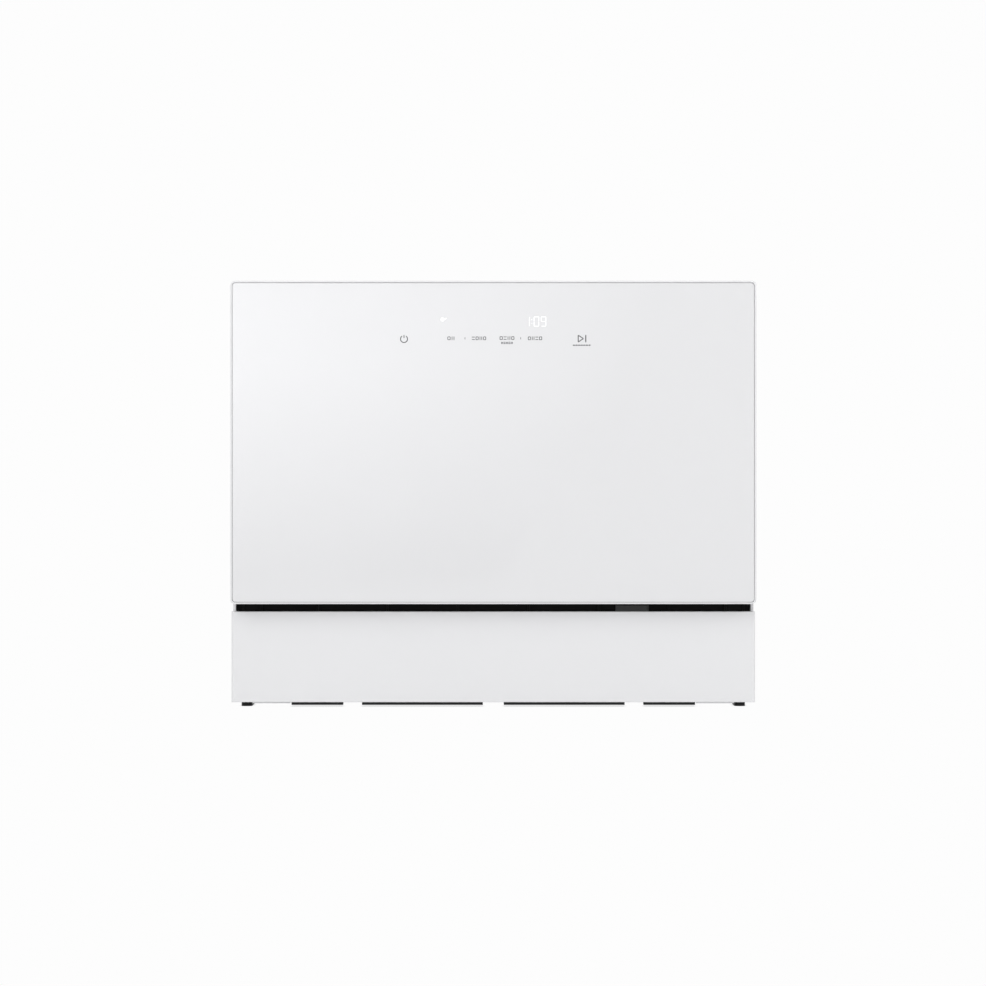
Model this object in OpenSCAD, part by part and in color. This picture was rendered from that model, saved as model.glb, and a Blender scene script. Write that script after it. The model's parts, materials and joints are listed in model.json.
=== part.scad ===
// Countertop dishwasher with a drop-down glass door over a recessed plinth.
// Millimetres. +Z is up, the door faces -Y, and the origin is under the middle of the cabinet.

/* [Overall] */
// Width across the door and the cabinet
body_w = 550; // [530:5:580]
// Height from the worktop to the top of the door
body_h = 446; // [436:2:470]
// Depth from the door glass to the rear panel
body_d = 510; // [495:5:540]

/* [Cabinet] */
// Thickness of the painted steel panels
panel_t = 1.5; // [1:0.25:2]
// Width of the rolled hem on the front edge of each side panel
hem_w = 3; // [2.5:0.25:4]
// Height of the top cover's skirt over the side panels
skirt_h = 12; // [8:1:16]
// Thickness of the moulded top cover
cover_t = 2.5; // [2:0.25:3.5]
// Radius of the top cover's long edges
cover_corner = 6; // [3:1:9]
// Height of the feet, which is also the plinth's lower edge
foot_h = 4.5; // [3.5:0.5:7]
// Width of a foot pad
foot_w = 11; // [8:1:16]
// Length of a foot pad
foot_l = 46; // [30:2:60]
// Height of the plinth's upper edge
plinth_top = 99.5; // [96:0.5:101]
// How far the plinth stands behind the door glass
plinth_setback = 17; // [15:0.5:19]
// Wall of the plinth moulding
plinth_t = 2.5; // [2:0.25:3]
// Height of the shadow gap between plinth and door
slot_h = 8.5; // [7.5:0.5:10]
// Wall of the base tray
tray_t = 2.5; // [2:0.25:3.5]
// Height of the base tray's side walls
tray_wall_h = 52; // [40:2:60]
// Thickness of the ribs behind the shadow gap
rib_t = 2; // [1.5:0.25:3]
// How far those ribs stand proud
rib_proud = 3; // [2:0.5:5]

/* [Door] */
// Thickness of the door from glass to inner rim
door_t = 42; // [40:1:44]
// Width of the frame's rim that shows round the glass
door_rim = 1.8; // [1.2:0.1:3]
// Radius of the door's upper corners
door_corner = 5; // [3:0.5:8]
// Thickness of the door glass
glass_t = 4; // [3:0.5:5]
// Groove between the glass and the frame's rim
glass_gap = 0.4; // [0.2:0.1:0.7]
// Wall of the door frame
frame_t = 2.5; // [2:0.25:3.5]
// Thickness of the stainless inner liner
liner_t = 0.8; // [0.6:0.1:1.2]
// How deep the liner's middle is pressed into the door
liner_recess = 14; // [10:1:16]
// Bevel on the door's lower inner edge, which lets it swing past the tub
door_bevel = 8; // [6:1:10]
// Gap between the door's inner rim and the cabinet's front
seal_gap = 3; // [2.5:0.25:4]
// Hinge axis behind the door glass
hinge_inset = 18; // [17:0.5:18.5]
// Hinge axis above the door's lower edge
hinge_rise = 18; // [17.5:0.5:19]
// Radius of the hinge pins
pin_r = 3; // [2.5:0.25:4]
// Thickness of the hinge arms and brackets
hinge_t = 2.5; // [2:0.25:3]
// Length of the grip scoop in the door's top edge
grip_l = 150; // [100:5:200]

/* [Tub] */
// Thickness of the stainless tub
tub_t = 1; // [0.8:0.1:1.4]
// Room between the cabinet's side and the tub
tub_side = 30; // [28:1:36]
// Height of the tub's floor
tub_floor = 140; // [138:0.5:142]
// Room between the top of the cabinet and the tub's ceiling
tub_head = 16; // [14:1:20]
// Room between the tub's back and the rear panel
tub_back = 58; // [50:1:66]
// Radius of the tub's long corners
tub_corner = 20; // [14:1:26]
// Height of the sill at the tub's mouth
sill_h = 6; // [4:0.5:8]
// Width of the flange round the tub's mouth
flange_w = 22; // [18:1:24]

/* [Spray arms and filter] */
// Half length of the lower spray arm
arm_r = 176; // [150:2:178]
// Half length of the upper spray arm
top_arm_r = 105; // [80:5:125]
// Radius of the spray arms' pivots
pivot_r = 8; // [6:0.5:10]
// Radius of the flat filter
filter_r = 62; // [50:2:66]
// Radius of the filter cup
cup_r = 30; // [24:1:34]
// Depth of the filter cup below the tub floor
cup_depth = 46; // [36:2:56]

/* [Rack] */
// Radius of the grid wires
wire_r = 1.6; // [1.3:0.1:1.9]
// Radius of the rim wires
rim_r = 2.2; // [1.8:0.1:2.6]
// Bend radius of the grid wires
bend_r = 20; // [16:1:24]
// Height of the rack from its floor wires to its rim
rack_h = 112; // [100:2:124]
// Spacing of the wires that run from front to back
long_pitch = 31; // [28:1:36]
// Spacing of the wires that run from side to side
cross_pitch = 36; // [32:2:40]
// Radius of the rack wheels
wheel_r = 13; // [12:0.25:13.5]
// Width of a rack wheel
wheel_w = 7; // [5:0.5:8]
// Height of the folding tines
tine_h = 60; // [45:5:66]
// Width of the cutlery basket
basket_w = 62; // [50:2:70]
// Length of the cutlery basket
basket_l = 190; // [160:5:220]
// Height of the cutlery basket's walls
basket_h = 98; // [80:2:102]
// Width of the folding cup shelf
shelf_w = 82; // [60:2:90]

/* [Connections] */
// Radius over the threads of the three-quarter inch water inlet
inlet_r = 13.2; // [12:0.1:14]
// Length of the water inlet stub
inlet_l = 15; // [12:1:18]
// Radius of the drain spigot
drain_r = 10; // [8:0.5:11]
// Length of the drain spigot
drain_l = 24; // [18:1:26]
// Radius of the mains lead's hole in its gland
lead_r = 3.9; // [3:0.1:4.5]

/* [Hidden] */
$fn = 48;
fit = 0.3;         // gap between pieces that move past each other
running = 0.06;    // radial clearance of a pin in its hole
weld = 0.1;        // how far crossing wires sink into each other at a weld
eps = 0.01;

// Cabinet
half_w = body_w / 2;
front_y = -body_d / 2;
rear_y = body_d / 2;
screw_head = 1.6;
panel_y = rear_y - screw_head;           // outer face of the rear panel
panel_in_y = panel_y - panel_t;          // its inner face
door_bottom = plinth_top + slot_h;
door_back = front_y + door_t;
case_front = door_back + seal_gap;
case_top = body_h - 1;
case_in = half_w - panel_t;
skirt_z = case_top - skirt_h;
plinth_front = front_y + plinth_setback;
tray_front = plinth_front + plinth_t;
tray_top = plinth_top - plinth_t;
tray_floor = foot_h + tray_t;
kick_y = case_front + 10;
kick_top = tub_floor - tub_t;
rib_xs = [37.5, 112, 186, 246];
end_rib_x = half_w - 10;                 // a low rib before each hinge
skids = [[11, 138], [158, 212]];         // skid bars: inner and outer end on each side
lip = [half_w - 62, half_w - 22];        // lips under the plinth between skids and feet
foot_x = half_w - 15.5;
foot_ys = [plinth_front + 30, rear_y - 34];
screw_r = 3.6;
screw_n = 4;
screw_low = foot_h + 35.5;
screw_pitch = (skirt_z - 63 - screw_low) / (screw_n - 1);
gap_cover_x = 147;
gap_cover_w = 35;

// Door
hinge_y = front_y + hinge_inset;
hinge_z = door_bottom + hinge_rise;
door_mid = (body_h + door_bottom) / 2;
glass_face = front_y + 0.2;              // the glass lies just inside the rim
glass_back = glass_face + glass_t;
liner_y = door_back - liner_t;
pan_y = liner_y - liner_recess;
pan_face = pan_y + liner_t;
bevel_in = 5.5;                          // depth of the lower inner bevel along the door's edge
bevel_t = 1.3;
pan_half = half_w - 50;
pan_low = hinge_z + 24;
pan_high = body_h - 42;
board_z = body_h - 62;                   // height of the touch keys
key_xs = [-93, -44, -15, 14, 43.5, 93];
grip_y = glass_back + frame_t + 10.6;
ear_r = pin_r + 4;
bracket_x = half_w - 17;
arm_x = bracket_x + hinge_t + 3;
tail_y = hinge_y + 34;                   // where each spring hooks on to its hinge arm
tail_z = hinge_z + 12;
spring_l = 110;
spring_start = tail_y + 34;
spring_end = spring_start + spring_l + 20;

// Tub
tub_half = half_w - tub_side;
tub_roof = case_top - tub_head;
tub_front = case_front + 1;
tub_rear = rear_y - tub_back;
mouth_half = tub_half - 4;
mouth_low = tub_floor + sill_h;
mouth_high = tub_roof - 4;
flange_back = tub_front + tub_t;
latch_low = tub_roof + tub_t + 0.7;      // slot for the latch, just above the tub's roof
latch_high = latch_low + 8.5;
latch_y = liner_y - 7;
latch_z = latch_low - 2;
latch_pin = 1.7;
tub_mid_y = (tub_front + tub_rear) / 2;

// Rails and rack: the rails lie just above the rim of the open door
rail_top = hinge_z + door_back - hinge_y + 2;
rail_in = tub_half - 20;
axle_z = rail_top + fit + wheel_r;
axle_r = 2.5;
wheel_x = rail_in + 3 + wheel_w / 2;
rack_half = rail_in - 4;
rack_front = case_front + 10;
rack_back = tub_rear - 30;
floor_z = axle_z + wheel_r + 5;
cross_z = floor_z + 2 * wire_r - weld;
rim_z = floor_z + rack_h;
mid_rim_z = floor_z + rack_h / 2;
rim_half = rack_half - rim_r;
rim_front = rack_front + rim_r;
rim_back = rack_back - rim_r;
leg_inset = rim_r + wire_r - weld;
leg_half = rim_half - leg_inset;
leg_front = rim_front + leg_inset;
leg_back = rim_back - leg_inset;
rack_mid = (rack_front + rack_back) / 2;
long_n = floor((leg_half - bend_r) / long_pitch);
cross_n = floor((leg_back - leg_front - 2 * bend_r) / cross_pitch);
cross_ys = [for (i = [0:cross_n]) rack_mid + (i - cross_n / 2) * cross_pitch];
between_ys = [for (i = [1:cross_n]) (cross_ys[i - 1] + cross_ys[i]) / 2];
wheel_ys = [between_ys[1], between_ys[cross_n - 2]];
deck_z = cross_z + wire_r;

// Tines: each rod lies over the long wires, and its tines stand between them
rod_r = 1.8;
rod_z = floor_z + wire_r + rod_r + 0.6;
basket_x = leg_half - bend_r - 1 - basket_w / 2;
basket_y = rack_mid - 39;
tine_ys = [between_ys[2], between_ys[cross_n - 3]];
tine_last = floor((basket_x - basket_w / 2 - 8) / long_pitch - 0.5);
tine_xs = [for (i = [-long_n:tine_last]) (i + 0.5) * long_pitch];
clip_xs = [-long_n + 1, -2, tine_last] * long_pitch;

// Cup shelf, hung from two of the rack's side wires
shelf_rod = 2.2;
shelf_z = floor_z + tine_h + 26;
shelf_x = -leg_half + wire_r + 3 + shelf_rod;
shelf_t = 3;
shelf_ys = [cross_ys[2], cross_ys[cross_n - 2]];
shelf_slots = 7;

// Water path
arm_y = tub_mid_y;
arm_z = tub_floor + 15;
arm_t = 9;
hub_top = arm_z + arm_t + 2;
filter_x = 78;
filter_y = arm_y - 96;
sump_z = tub_floor - cup_depth - 10;     // height of the pump's and the spray pipes
drain_z = sump_z - 22;                   // height of the drain and of the connections
post_low = sump_z + 26;
pump_x = filter_x - cup_r - 26;          // mouth of the wash pump
volute_r = 34;
volute_w = 32;
motor_r = 29;
motor_l = 76;
outlet_l = 40;                           // from the pump's axis to its outlet's end
drain_pump_x = filter_x + cup_r + 24;
drain_out = [10, 42];                    // outlet, from the drain pump's mouth
riser_r = 9;
riser_bend = 22;
riser_y = tub_rear - riser_r - 3;
roof_pipe_z = tub_roof - riser_r - 3;
top_arm_t = 7;
top_arm_z = roof_pipe_z - riser_r - 14;
socket_z = top_arm_z + top_arm_t + 2 + fit;
float_at = [-tub_half + 45, tub_front + 36];
pipe_r = 8;
bay = [[-232, drain_z - 32], [-66, drain_z + 32]];   // recess in the rear panel, as [x, z] corners
bay_y = rear_y - 34;
inlet_at = [-200, bay_y, drain_z];
drain_at = [-142, bay_y, drain_z];
lead_at = [-94, bay_y, drain_z];
spigot_in = bay_y - 34;
hose_bend = 24;
hose_y = spigot_in - hose_bend;
prop_w = 15;
props = [[-tub_half + 25, inlet_at.y - 56 - prop_w], [tub_half - 25 - prop_w, tub_rear - 10 - prop_w]];
fill_x = -case_in + 13;
fill_y = inlet_at.y - 24;
chamber = [rear_y - 175, rear_y - 45, 130, 330];     // air break: front, back, low and high
pcb_at = [tub_half - 95, 40];            // circuit board in the base
pcb_w = 90;
pcb_l = 130;
pcb_z = foot_h + 12;
pcb_t = 1.6;

// Dispenser, placed from the middle of the door
disp_low = [-98, door_mid - 56];         // its front plate
disp_high = [82, door_mid + 46];
disp_lap = [8, 6];                       // how far the plate laps over the liner's window
disp_face = pan_face + 6;
disp_back = pan_face - 15;
cup_low = [-88, door_mid - 40];
cup_high = [-34, door_mid + 4];
button_at = [-61, door_mid + 26];
button_r = 7;
cap_at = [52, door_mid + 12];
cap_r = 17;
cap_stem = 11;

// ---------- helpers ----------

module block(low, high) translate(low) cube(high - low);

module both_sides() {
  children();
  mirror([1, 0, 0]) children();
}

// Rectangle with true arcs at its corners
module round_rect(w, h, r) {
  square([w - 2 * r, h], center = true);
  square([w, h - 2 * r], center = true);
  for (x = [-1, 1], y = [-1, 1]) translate([x * (w / 2 - r), y * (h / 2 - r)]) circle(r);
}

// The same, between two corners
module round_rect_at(low, high, r)
  translate((low + high) / 2) round_rect(high.x - low.x, high.y - low.y, r);

// Extrudes an XZ outline from y0 to y1
module along_y(y0, y1) translate([0, y1, 0]) rotate([90, 0, 0]) linear_extrude(y1 - y0) children();

// Extrudes a YZ outline from x0 to x1
module along_x(x0, x1) translate([x0, 0, 0]) rotate([90, 0, 90]) linear_extrude(x1 - x0) children();

// Extrudes an XY outline from z0 to z1
module along_z(z0, z1) translate([0, 0, z0]) linear_extrude(z1 - z0) children();

module rod_y(at, y1, r) translate(at) rotate([-90, 0, 0]) cylinder(r = r, h = y1 - at.y);

module rod_x(at, x1, r) translate(at) rotate([0, 90, 0]) cylinder(r = r, h = x1 - at.x);

// A quarter bend of wire or pipe about the Z axis, from +X to +Y
module bend(r, wire) rotate_extrude(angle = 90) translate([r, 0]) circle(wire);

// The same bend about the X axis, from +Y to +Z
module bend_yz(r, wire) rotate([90, 0, 90]) bend(r, wire);

// A U of wire in the XZ plane: its floor runs from -half to half, and its legs are h high
module u_wire(half, h, r, wire) {
  rod_x([-half + r, 0, 0], half - r, wire);
  both_sides() {
    translate([half, 0, r]) cylinder(r = wire, h = h - r);
    translate([half - r, 0, r]) rotate([90, 0, 0]) rotate([0, 0, -90]) bend(r, wire);
  }
}

// A closed rectangular ring of wire with round corners
module wire_ring(half_x, y0, y1, r, wire) {
  for (y = [y0, y1]) rod_x([-half_x + r, y, 0], half_x - r, wire);
  for (x = [-half_x, half_x]) rod_y([x, y0 + r, 0], y1 - r, wire);
  for (c = [[1, y1 - r, 0], [-1, y1 - r, 90], [-1, y0 + r, 180], [1, y0 + r, 270]])
    translate([c.x * (half_x - r), c.y, 0]) rotate([0, 0, c.z]) bend(r, wire);
}

// ---------- cabinet ----------

module tray_outline() translate([-case_in, tray_front]) square([2 * case_in, panel_in_y - tray_front]);

// Tray that carries the pumps, the board and the tub, with the kick wall behind the shadow gap
module base_tray() color("#17181a") difference() {
  union() {
    difference() {
      along_z(foot_h, foot_h + tray_wall_h) tray_outline();
      block([-case_in + tray_t, tray_front + tray_t, tray_floor],
            [case_in - tray_t, panel_in_y + 1, foot_h + tray_wall_h + 1]);
    }
    block([-case_in, tray_front, foot_h], [case_in, tray_front + tray_t, tray_top]);
    block([-case_in, tray_front, tray_top - tray_t], [case_in, kick_y, tray_top]);
    block([-case_in, kick_y, tray_top - tray_t], [case_in, kick_y + tray_t, kick_top]);
    both_sides() for (x = rib_xs)
      block([x - rib_t / 2, kick_y - rib_proud, tray_top - eps], [x + rib_t / 2, kick_y + eps, kick_top]);
    both_sides() block([end_rib_x - rib_t / 2, kick_y - rib_proud, tray_top - eps],
                       [end_rib_x + rib_t / 2, kick_y + eps, door_bottom + 4]);
    both_sides() for (s = skids)
      block([s[0], tray_front, foot_h - 3], [s[1], tray_front + 14, foot_h + eps]);
    // props under the back of the tub
    for (p = props) block([p.x, p.y, foot_h], [p.x + prop_w, p.y + prop_w, kick_top]);
    // posts that the door springs pull on
    both_sides() block([arm_x - 1, spring_end, foot_h], [case_in, spring_end + tray_t, tail_z + 6]);
    // standoffs under the board, and ribs on the floor
    for (x = [5, pcb_w - 5], y = [5, pcb_l - 5])
      translate([pcb_at.x + x, pcb_at.y + y, foot_h]) cylinder(r = 4, h = pcb_z - foot_h);
    for (y = [-30, 190]) block([-case_in, y, foot_h], [case_in, y + tray_t, tray_floor + 5]);
  }
  both_sides() block([bracket_x - 2, kick_y - 1, hinge_z - ear_r - 2],
                     [arm_x + hinge_t + 1.5, kick_y + tray_t + 1, kick_top + 1]);
}

module feet() color("#202124")
  both_sides() for (y = foot_ys)
    translate([foot_x, y, 0]) linear_extrude(foot_h) round_rect(foot_w, foot_l, foot_w / 2 - 0.5);

module plinth_panel() color("#f2f2f4") difference() {
  union() {
    along_z(foot_h, plinth_top) translate([0, (plinth_front + case_front) / 2])
      round_rect(body_w, case_front - plinth_front, 2.5);
    both_sides() block([lip[0], plinth_front + 1, foot_h - 1.2], [lip[1], tray_front, foot_h + eps]);
  }
  block([-half_w + plinth_t - 1, plinth_front + plinth_t, foot_h - 1],
        [half_w - plinth_t + 1, rear_y, tray_top]);
  // open behind a narrow ledge at the top
  block([-half_w + plinth_t, plinth_front + plinth_t + 9, tray_top - 1],
        [half_w - plinth_t, rear_y, plinth_top + 1]);
}

// Plate on the kick wall, with a raised right edge
module gap_cover() color("#55575a") {
  right = gap_cover_x + gap_cover_w / 2;
  top = plinth_top + slot_h * 0.66;
  block([right - gap_cover_w, kick_y - 2.4, tray_top], [right, kick_y, top]);
  block([right - 1, kick_y - 4, tray_top], [right, kick_y, top]);
}

module side_panel() {
  block([case_in, case_front, foot_h], [half_w, panel_in_y, skirt_z]);
  // rolled front hem, and a wider one above the sweep of the door's hinge arm
  block([half_w - hem_w, case_front, tray_top], [case_in + eps, case_front + 9, skirt_z]);
  block([mouth_half + flange_w + 1, case_front, hinge_z + 46], [case_in + eps, case_front + panel_t, skirt_z]);
  // flange that carries the top cover
  block([case_in - 10, case_front + 9, skirt_z - panel_t], [case_in + eps, panel_in_y, skirt_z]);
}

module left_side_panel() color("#f4f4f6") mirror([1, 0, 0]) side_panel();
module right_side_panel() color("#f4f4f6") side_panel();

// Front view of the cover: a flat-bottomed slab with two round upper corners
module cover_outline(inset) intersection() {
  round_rect_at([-half_w + inset, skirt_z - 40], [half_w - inset, case_top - inset], cover_corner - inset);
  translate([-half_w, skirt_z - (inset > 0 ? 1 : 0)]) square([body_w, skirt_h + 2]);
}

module top_cover() color("#f6f6f8") {
  difference() {
    along_y(case_front, panel_y) cover_outline(0);
    along_y(case_front - 1, panel_in_y) cover_outline(cover_t);
  }
  // webs that close the front corners beside the tub's flange
  both_sides() block([mouth_half + flange_w + 1, case_front, skirt_z],
                     [half_w - cover_t + eps, case_front + panel_t, case_top - cover_t + eps]);
}

// Grille slots let the warm air out of the base, and a recess holds the connections
module rear_panel() color("#e4e5e8") difference() {
  union() {
    block([-half_w + 0.5, panel_in_y, foot_h + 3], [half_w - 0.5, panel_y, skirt_z]);
    block([bay[0].x - panel_t, bay_y - panel_t, bay[0].y - panel_t],
          [bay[1].x + panel_t, panel_y, bay[1].y + panel_t]);
  }
  block([bay[0].x, bay_y, bay[0].y], [bay[1].x, rear_y, bay[1].y]);
  rod_y(inlet_at - [0, 5, 0], bay_y + 1, inlet_r - 2);
  rod_y(drain_at - [0, 5, 0], bay_y + 1, drain_r + 1);
  rod_y(lead_at - [0, 5, 0], bay_y + 1, 11);
  for (row = [0, 1], i = [0:11])
    translate([70 + i * 14, panel_y, 40 + row * 50]) rotate([90, 0, 0])
      linear_extrude(10, center = true) round_rect(5, 34, 2.4);
}

module case_screws() color("silver") both_sides() for (i = [0:screw_n - 1])
  rod_y([case_in - 8, panel_y, screw_low + i * screw_pitch], rear_y, screw_r);

// ---------- tub ----------

module tub_outline(grow)
  round_rect_at([-tub_half - grow, tub_floor - grow], [tub_half + grow, tub_roof + grow], tub_corner + grow);

module mouth_outline(grow) round_rect_at([-mouth_half - grow, mouth_low - grow],
  [mouth_half + grow, mouth_high + grow], tub_corner - 4 + grow);

module tub() color("#c3c6c9") difference() {
  union() {
    difference() {
      along_y(tub_front, tub_rear + tub_t) tub_outline(tub_t);
      along_y(flange_back, tub_rear) tub_outline(0);
    }
    along_y(tub_front, flange_back)
      round_rect_at([-mouth_half - flange_w, mouth_low - 5], [mouth_half + flange_w, latch_high + 2], 8);
  }
  along_y(tub_front - 1, flange_back + 1) mouth_outline(0);
  // holes for the sump, the spray arm's post, the riser, the float and the latch
  translate([filter_x, filter_y, tub_floor - 5]) cylinder(r = cup_r + 6, h = 10);
  translate([0, arm_y, tub_floor - 5]) cylinder(r = pivot_r + 2.5, h = 10);
  translate([0, riser_y, tub_floor - 5]) cylinder(r = riser_r, h = 10);
  translate([float_at.x, float_at.y, tub_floor - 5]) cylinder(r = 5, h = 10);
  block([-14, tub_front - 1, latch_low], [14, flange_back + 1, latch_high]);
}

// Sound-damping felt laid over the tub's top and sides
module tub_blanket() color("#3a3c3f") difference() {
  along_y(tub_front + 30, tub_rear - 10) tub_outline(tub_t + 4);
  along_y(tub_front, tub_rear + 1) tub_outline(tub_t);
  block([-half_w, front_y, 0], [half_w, rear_y, tub_floor + 60]);
}

module seal_ring(y0, y1, inner, outer) along_y(y0, y1) difference() {
  mouth_outline(outer);
  mouth_outline(inner);
}

// Gasket round the mouth, with a narrow bulb towards the door, and a lip along the sill
module door_seal() color("#5d6063") {
  difference() {
    union() {
      seal_ring(tub_front - 1.4, tub_front, 2, 11);
      seal_ring(door_back + fit, tub_front - 1.4 + eps, 4, 8);
    }
    block([-half_w, front_y, 0], [half_w, rear_y, mouth_low + 24]);
    block([-16, front_y, mouth_high - 5], [16, rear_y, body_h]);
  }
  along_x(-mouth_half + 18, mouth_half - 18) polygon([
    [tub_front - 1.2, mouth_low - 4.5], [tub_front, mouth_low - 4.5], [tub_front, mouth_low],
    [tub_front - 0.8, mouth_low + 1], [door_back + fit, mouth_low + 4], [door_back + fit, mouth_low + 3]
  ]);
}

// C-shaped rails that hold the rack's wheels, seated in the tub's lower corners
module rack_rails() color("#b9bdc1") both_sides() along_y(tub_front + 12, tub_rear) intersection() {
  union() {
    translate([rail_in, rail_top - 2]) square([tub_half - rail_in, 2]);
    translate([rail_in, rail_top - eps]) square([1.5, 3]);
    translate([tub_half - 1.5, rail_top - eps]) square([1.5, 2 * wheel_r + 3]);
    translate([tub_half - 9, rail_top + 2 * wheel_r + 1.5]) square([9, 1.5]);
  }
  tub_outline(0);
}

// ---------- hinges and latch ----------

// Fixed ear: an upright plate from the tray, with an arm that reaches forward to the pin
module hinge_brackets() color("#8d9196") both_sides() {
  along_x(bracket_x, bracket_x + hinge_t) difference() {
    union() {
      translate([hinge_y, hinge_z]) circle(ear_r);
      translate([hinge_y, hinge_z - ear_r]) square([kick_y + 28 - hinge_y, 2 * ear_r]);
      translate([kick_y + 10, tray_floor]) square([40, hinge_z - tray_floor]);
    }
    translate([hinge_y, hinge_z]) circle(pin_r);
  }
  block([bracket_x - 14, kick_y + 10, tray_floor], [bracket_x + eps, kick_y + 50, tray_floor + hinge_t]);
}

module hinge_pins() color("silver") both_sides() {
  rod_x([bracket_x - 1, hinge_y, hinge_z], arm_x + hinge_t + 1.5, pin_r);
  rod_x([bracket_x - 2.6, hinge_y, hinge_z], bracket_x, pin_r + 1.6);
}

// Extension springs that balance the door: closed coils between a front hook and a rear hook
module door_springs() color("#9a9da1") both_sides() {
  x = arm_x + hinge_t / 2;
  translate([x, spring_start, tail_z]) rotate([-90, 0, 0]) rotate_extrude() {
    for (i = [0:spring_l / 4]) translate([3.4, i * 4]) circle(2.2);
  }
  rod_y([x, tail_y + 5 + fit, tail_z], spring_start + 2, 1.4);
  rod_y([x, spring_start + spring_l - 2, tail_z], spring_end, 1.4);
}

// Arms screwed inside the door, each with a tail that its spring pulls on
module hinge_arms() color("#8d9196") both_sides() along_x(arm_x, arm_x + hinge_t) difference() {
  union() {
    translate([hinge_y, hinge_z]) circle(ear_r);
    translate([hinge_y - ear_r, hinge_z]) square([2 * ear_r, 124]);
    polygon([[hinge_y, hinge_z - 5], [tail_y, tail_z - 5], [tail_y, tail_z + 5], [hinge_y, hinge_z + 18]]);
    translate([tail_y, tail_z]) circle(5);
  }
  translate([hinge_y, hinge_z]) circle(pin_r + running);
  translate([tail_y, tail_z]) circle(1.8);
  for (z = [40, 80, 115]) translate([hinge_y - 1, hinge_z + z]) circle(2);
}

// Striker plate behind the slot above the tub's mouth
module latch_keeper() color("silver") difference() {
  block([-24, flange_back, tub_roof + tub_t], [24, flange_back + 1.5, latch_high + 2]);
  block([-10, flange_back - 1, latch_low], [10, flange_back + 3, latch_high]);
}

module latch_case() color("#d9dadd") {
  difference() {
    block([-26, liner_y - 12.5, latch_low - 14], [26, liner_y, latch_high + 2]);
    block([-7, liner_y - 11, latch_low - 12], [7, liner_y + 1, latch_high]);
  }
  rod_x([-8, latch_y, latch_z], 8, latch_pin);
}

// Drawn released, so that the door is free to swing; it turns up behind the striker
module latch_hook() color("#2c2e30") along_x(-5, 5) difference() {
  union() {
    translate([latch_y, latch_z]) circle(3.6);
    polygon([[latch_y - 2, latch_z + 3], [latch_y, latch_z + 1], [flange_back + 7, latch_low + 1.6],
             [flange_back + 7, latch_low + 4], [flange_back + 4.8, latch_low + 7.2],
             [flange_back + 3.5, latch_low + 7.2], [flange_back + 3.5, latch_low + 4.2]]);
  }
  translate([latch_y, latch_z]) circle(latch_pin + running);
}

// ---------- water path ----------

module sump() color("#8b8f94") translate([filter_x, filter_y, 0]) difference() {
  union() {
    translate([0, 0, drain_z - 12]) cylinder(r = cup_r + 8, h = kick_top - drain_z + 12);
    translate([0, 0, kick_top - 4]) cylinder(r = cup_r + 16, h = 4);
    rod_x([pump_x - filter_x, 0, sump_z], -cup_r - 6, riser_r + 2);
    rod_x([cup_r + 6, 0, drain_z], drain_pump_x - filter_x, 9);
  }
  translate([0, 0, drain_z - 9.5]) cylinder(r = cup_r + 5.5, h = kick_top);
  rod_x([pump_x - filter_x - 1, 0, sump_z], 0, riser_r);
  rod_x([0, 0, drain_z], drain_pump_x - filter_x + 1, 7);
}

// Stainless sieve round the cup, with rings of holes
module flat_filter() color("#aeb3b7") translate([filter_x, filter_y, tub_floor]) difference() {
  cylinder(r = filter_r, h = 1.2);
  translate([0, 0, -1]) cylinder(r = cup_r + 1, h = 4);
  for (ring = [0:2], i = [0:23])
    rotate(i * 15 + ring * 7.5) translate([cup_r + 9 + ring * 8, 0, -1]) cylinder(r = 1.5, h = 4);
}

// Cup with windows in its wall, a rim that rests on the flat filter and a bar to turn it by
module filter_cup() color("#4a5a66") translate([filter_x, filter_y, tub_floor]) {
  difference() {
    union() {
      translate([0, 0, -cup_depth]) cylinder(r = cup_r, h = cup_depth + 3);
      translate([0, 0, 1.5]) cylinder(r = cup_r + 5, h = 1.6);
    }
    translate([0, 0, -cup_depth + 2]) cylinder(r = cup_r - 2, h = cup_depth + 2);
    for (i = [0:11], z = [0:2])
      rotate(i * 30) translate([cup_r - 4, -3, -cup_depth + 8 + z * 12]) cube([8, 6, 8]);
  }
  translate([-cup_r + 1, -2.5, 0]) cube([2 * cup_r - 2, 5, 10]);
}

// Volute and motor on two saddle feet
module wash_pump() color("#6f7479") {
  motor_x = pump_x - volute_w;
  motor_end = motor_x - motor_l;
  difference() {
    union() {
      rod_x([motor_x, filter_y, sump_z], pump_x, volute_r);
      rod_x([motor_end, filter_y, sump_z], motor_x + eps, motor_r);
      rod_x([motor_end - 8, filter_y, sump_z], motor_end + eps, 12);
      for (x = [motor_end + 16, motor_x - 24])
        block([x, filter_y - 16, tray_floor], [x + 8, filter_y + 16, sump_z]);
      rod_y([0, filter_y, sump_z], filter_y + outlet_l, 11);
    }
    rod_x([motor_x + 6, filter_y, sump_z], pump_x + 1, riser_r);
  }
}

// Heater in the pump's outlet, with an elbow up into the arm's post and a branch to the riser
module flow_heater() color("#b3a07a") {
  elbow_y = arm_y - 18;
  rod_y([0, filter_y + outlet_l, sump_z], elbow_y - 4, 14);
  rod_y([0, elbow_y - 4 - eps, sump_z], arm_y + 14, pipe_r);
  translate([0, elbow_y, sump_z + 18]) mirror([0, 0, 1]) bend_yz(18, pipe_r);
  translate([0, arm_y, sump_z + 18]) cylinder(r = pipe_r, h = post_low - sump_z - 18);
}

module drain_pump() color("#5b7286") translate([drain_pump_x, filter_y, 0]) {
  rod_x([0, 0, drain_z], 20, 24);
  rod_x([20 - eps, 0, drain_z], 58, 18);
  rod_y([drain_out.x, 0, drain_z], drain_out.y, pipe_r);
  block([24, -10, tray_floor], [34, 10, drain_z]);
}

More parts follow.
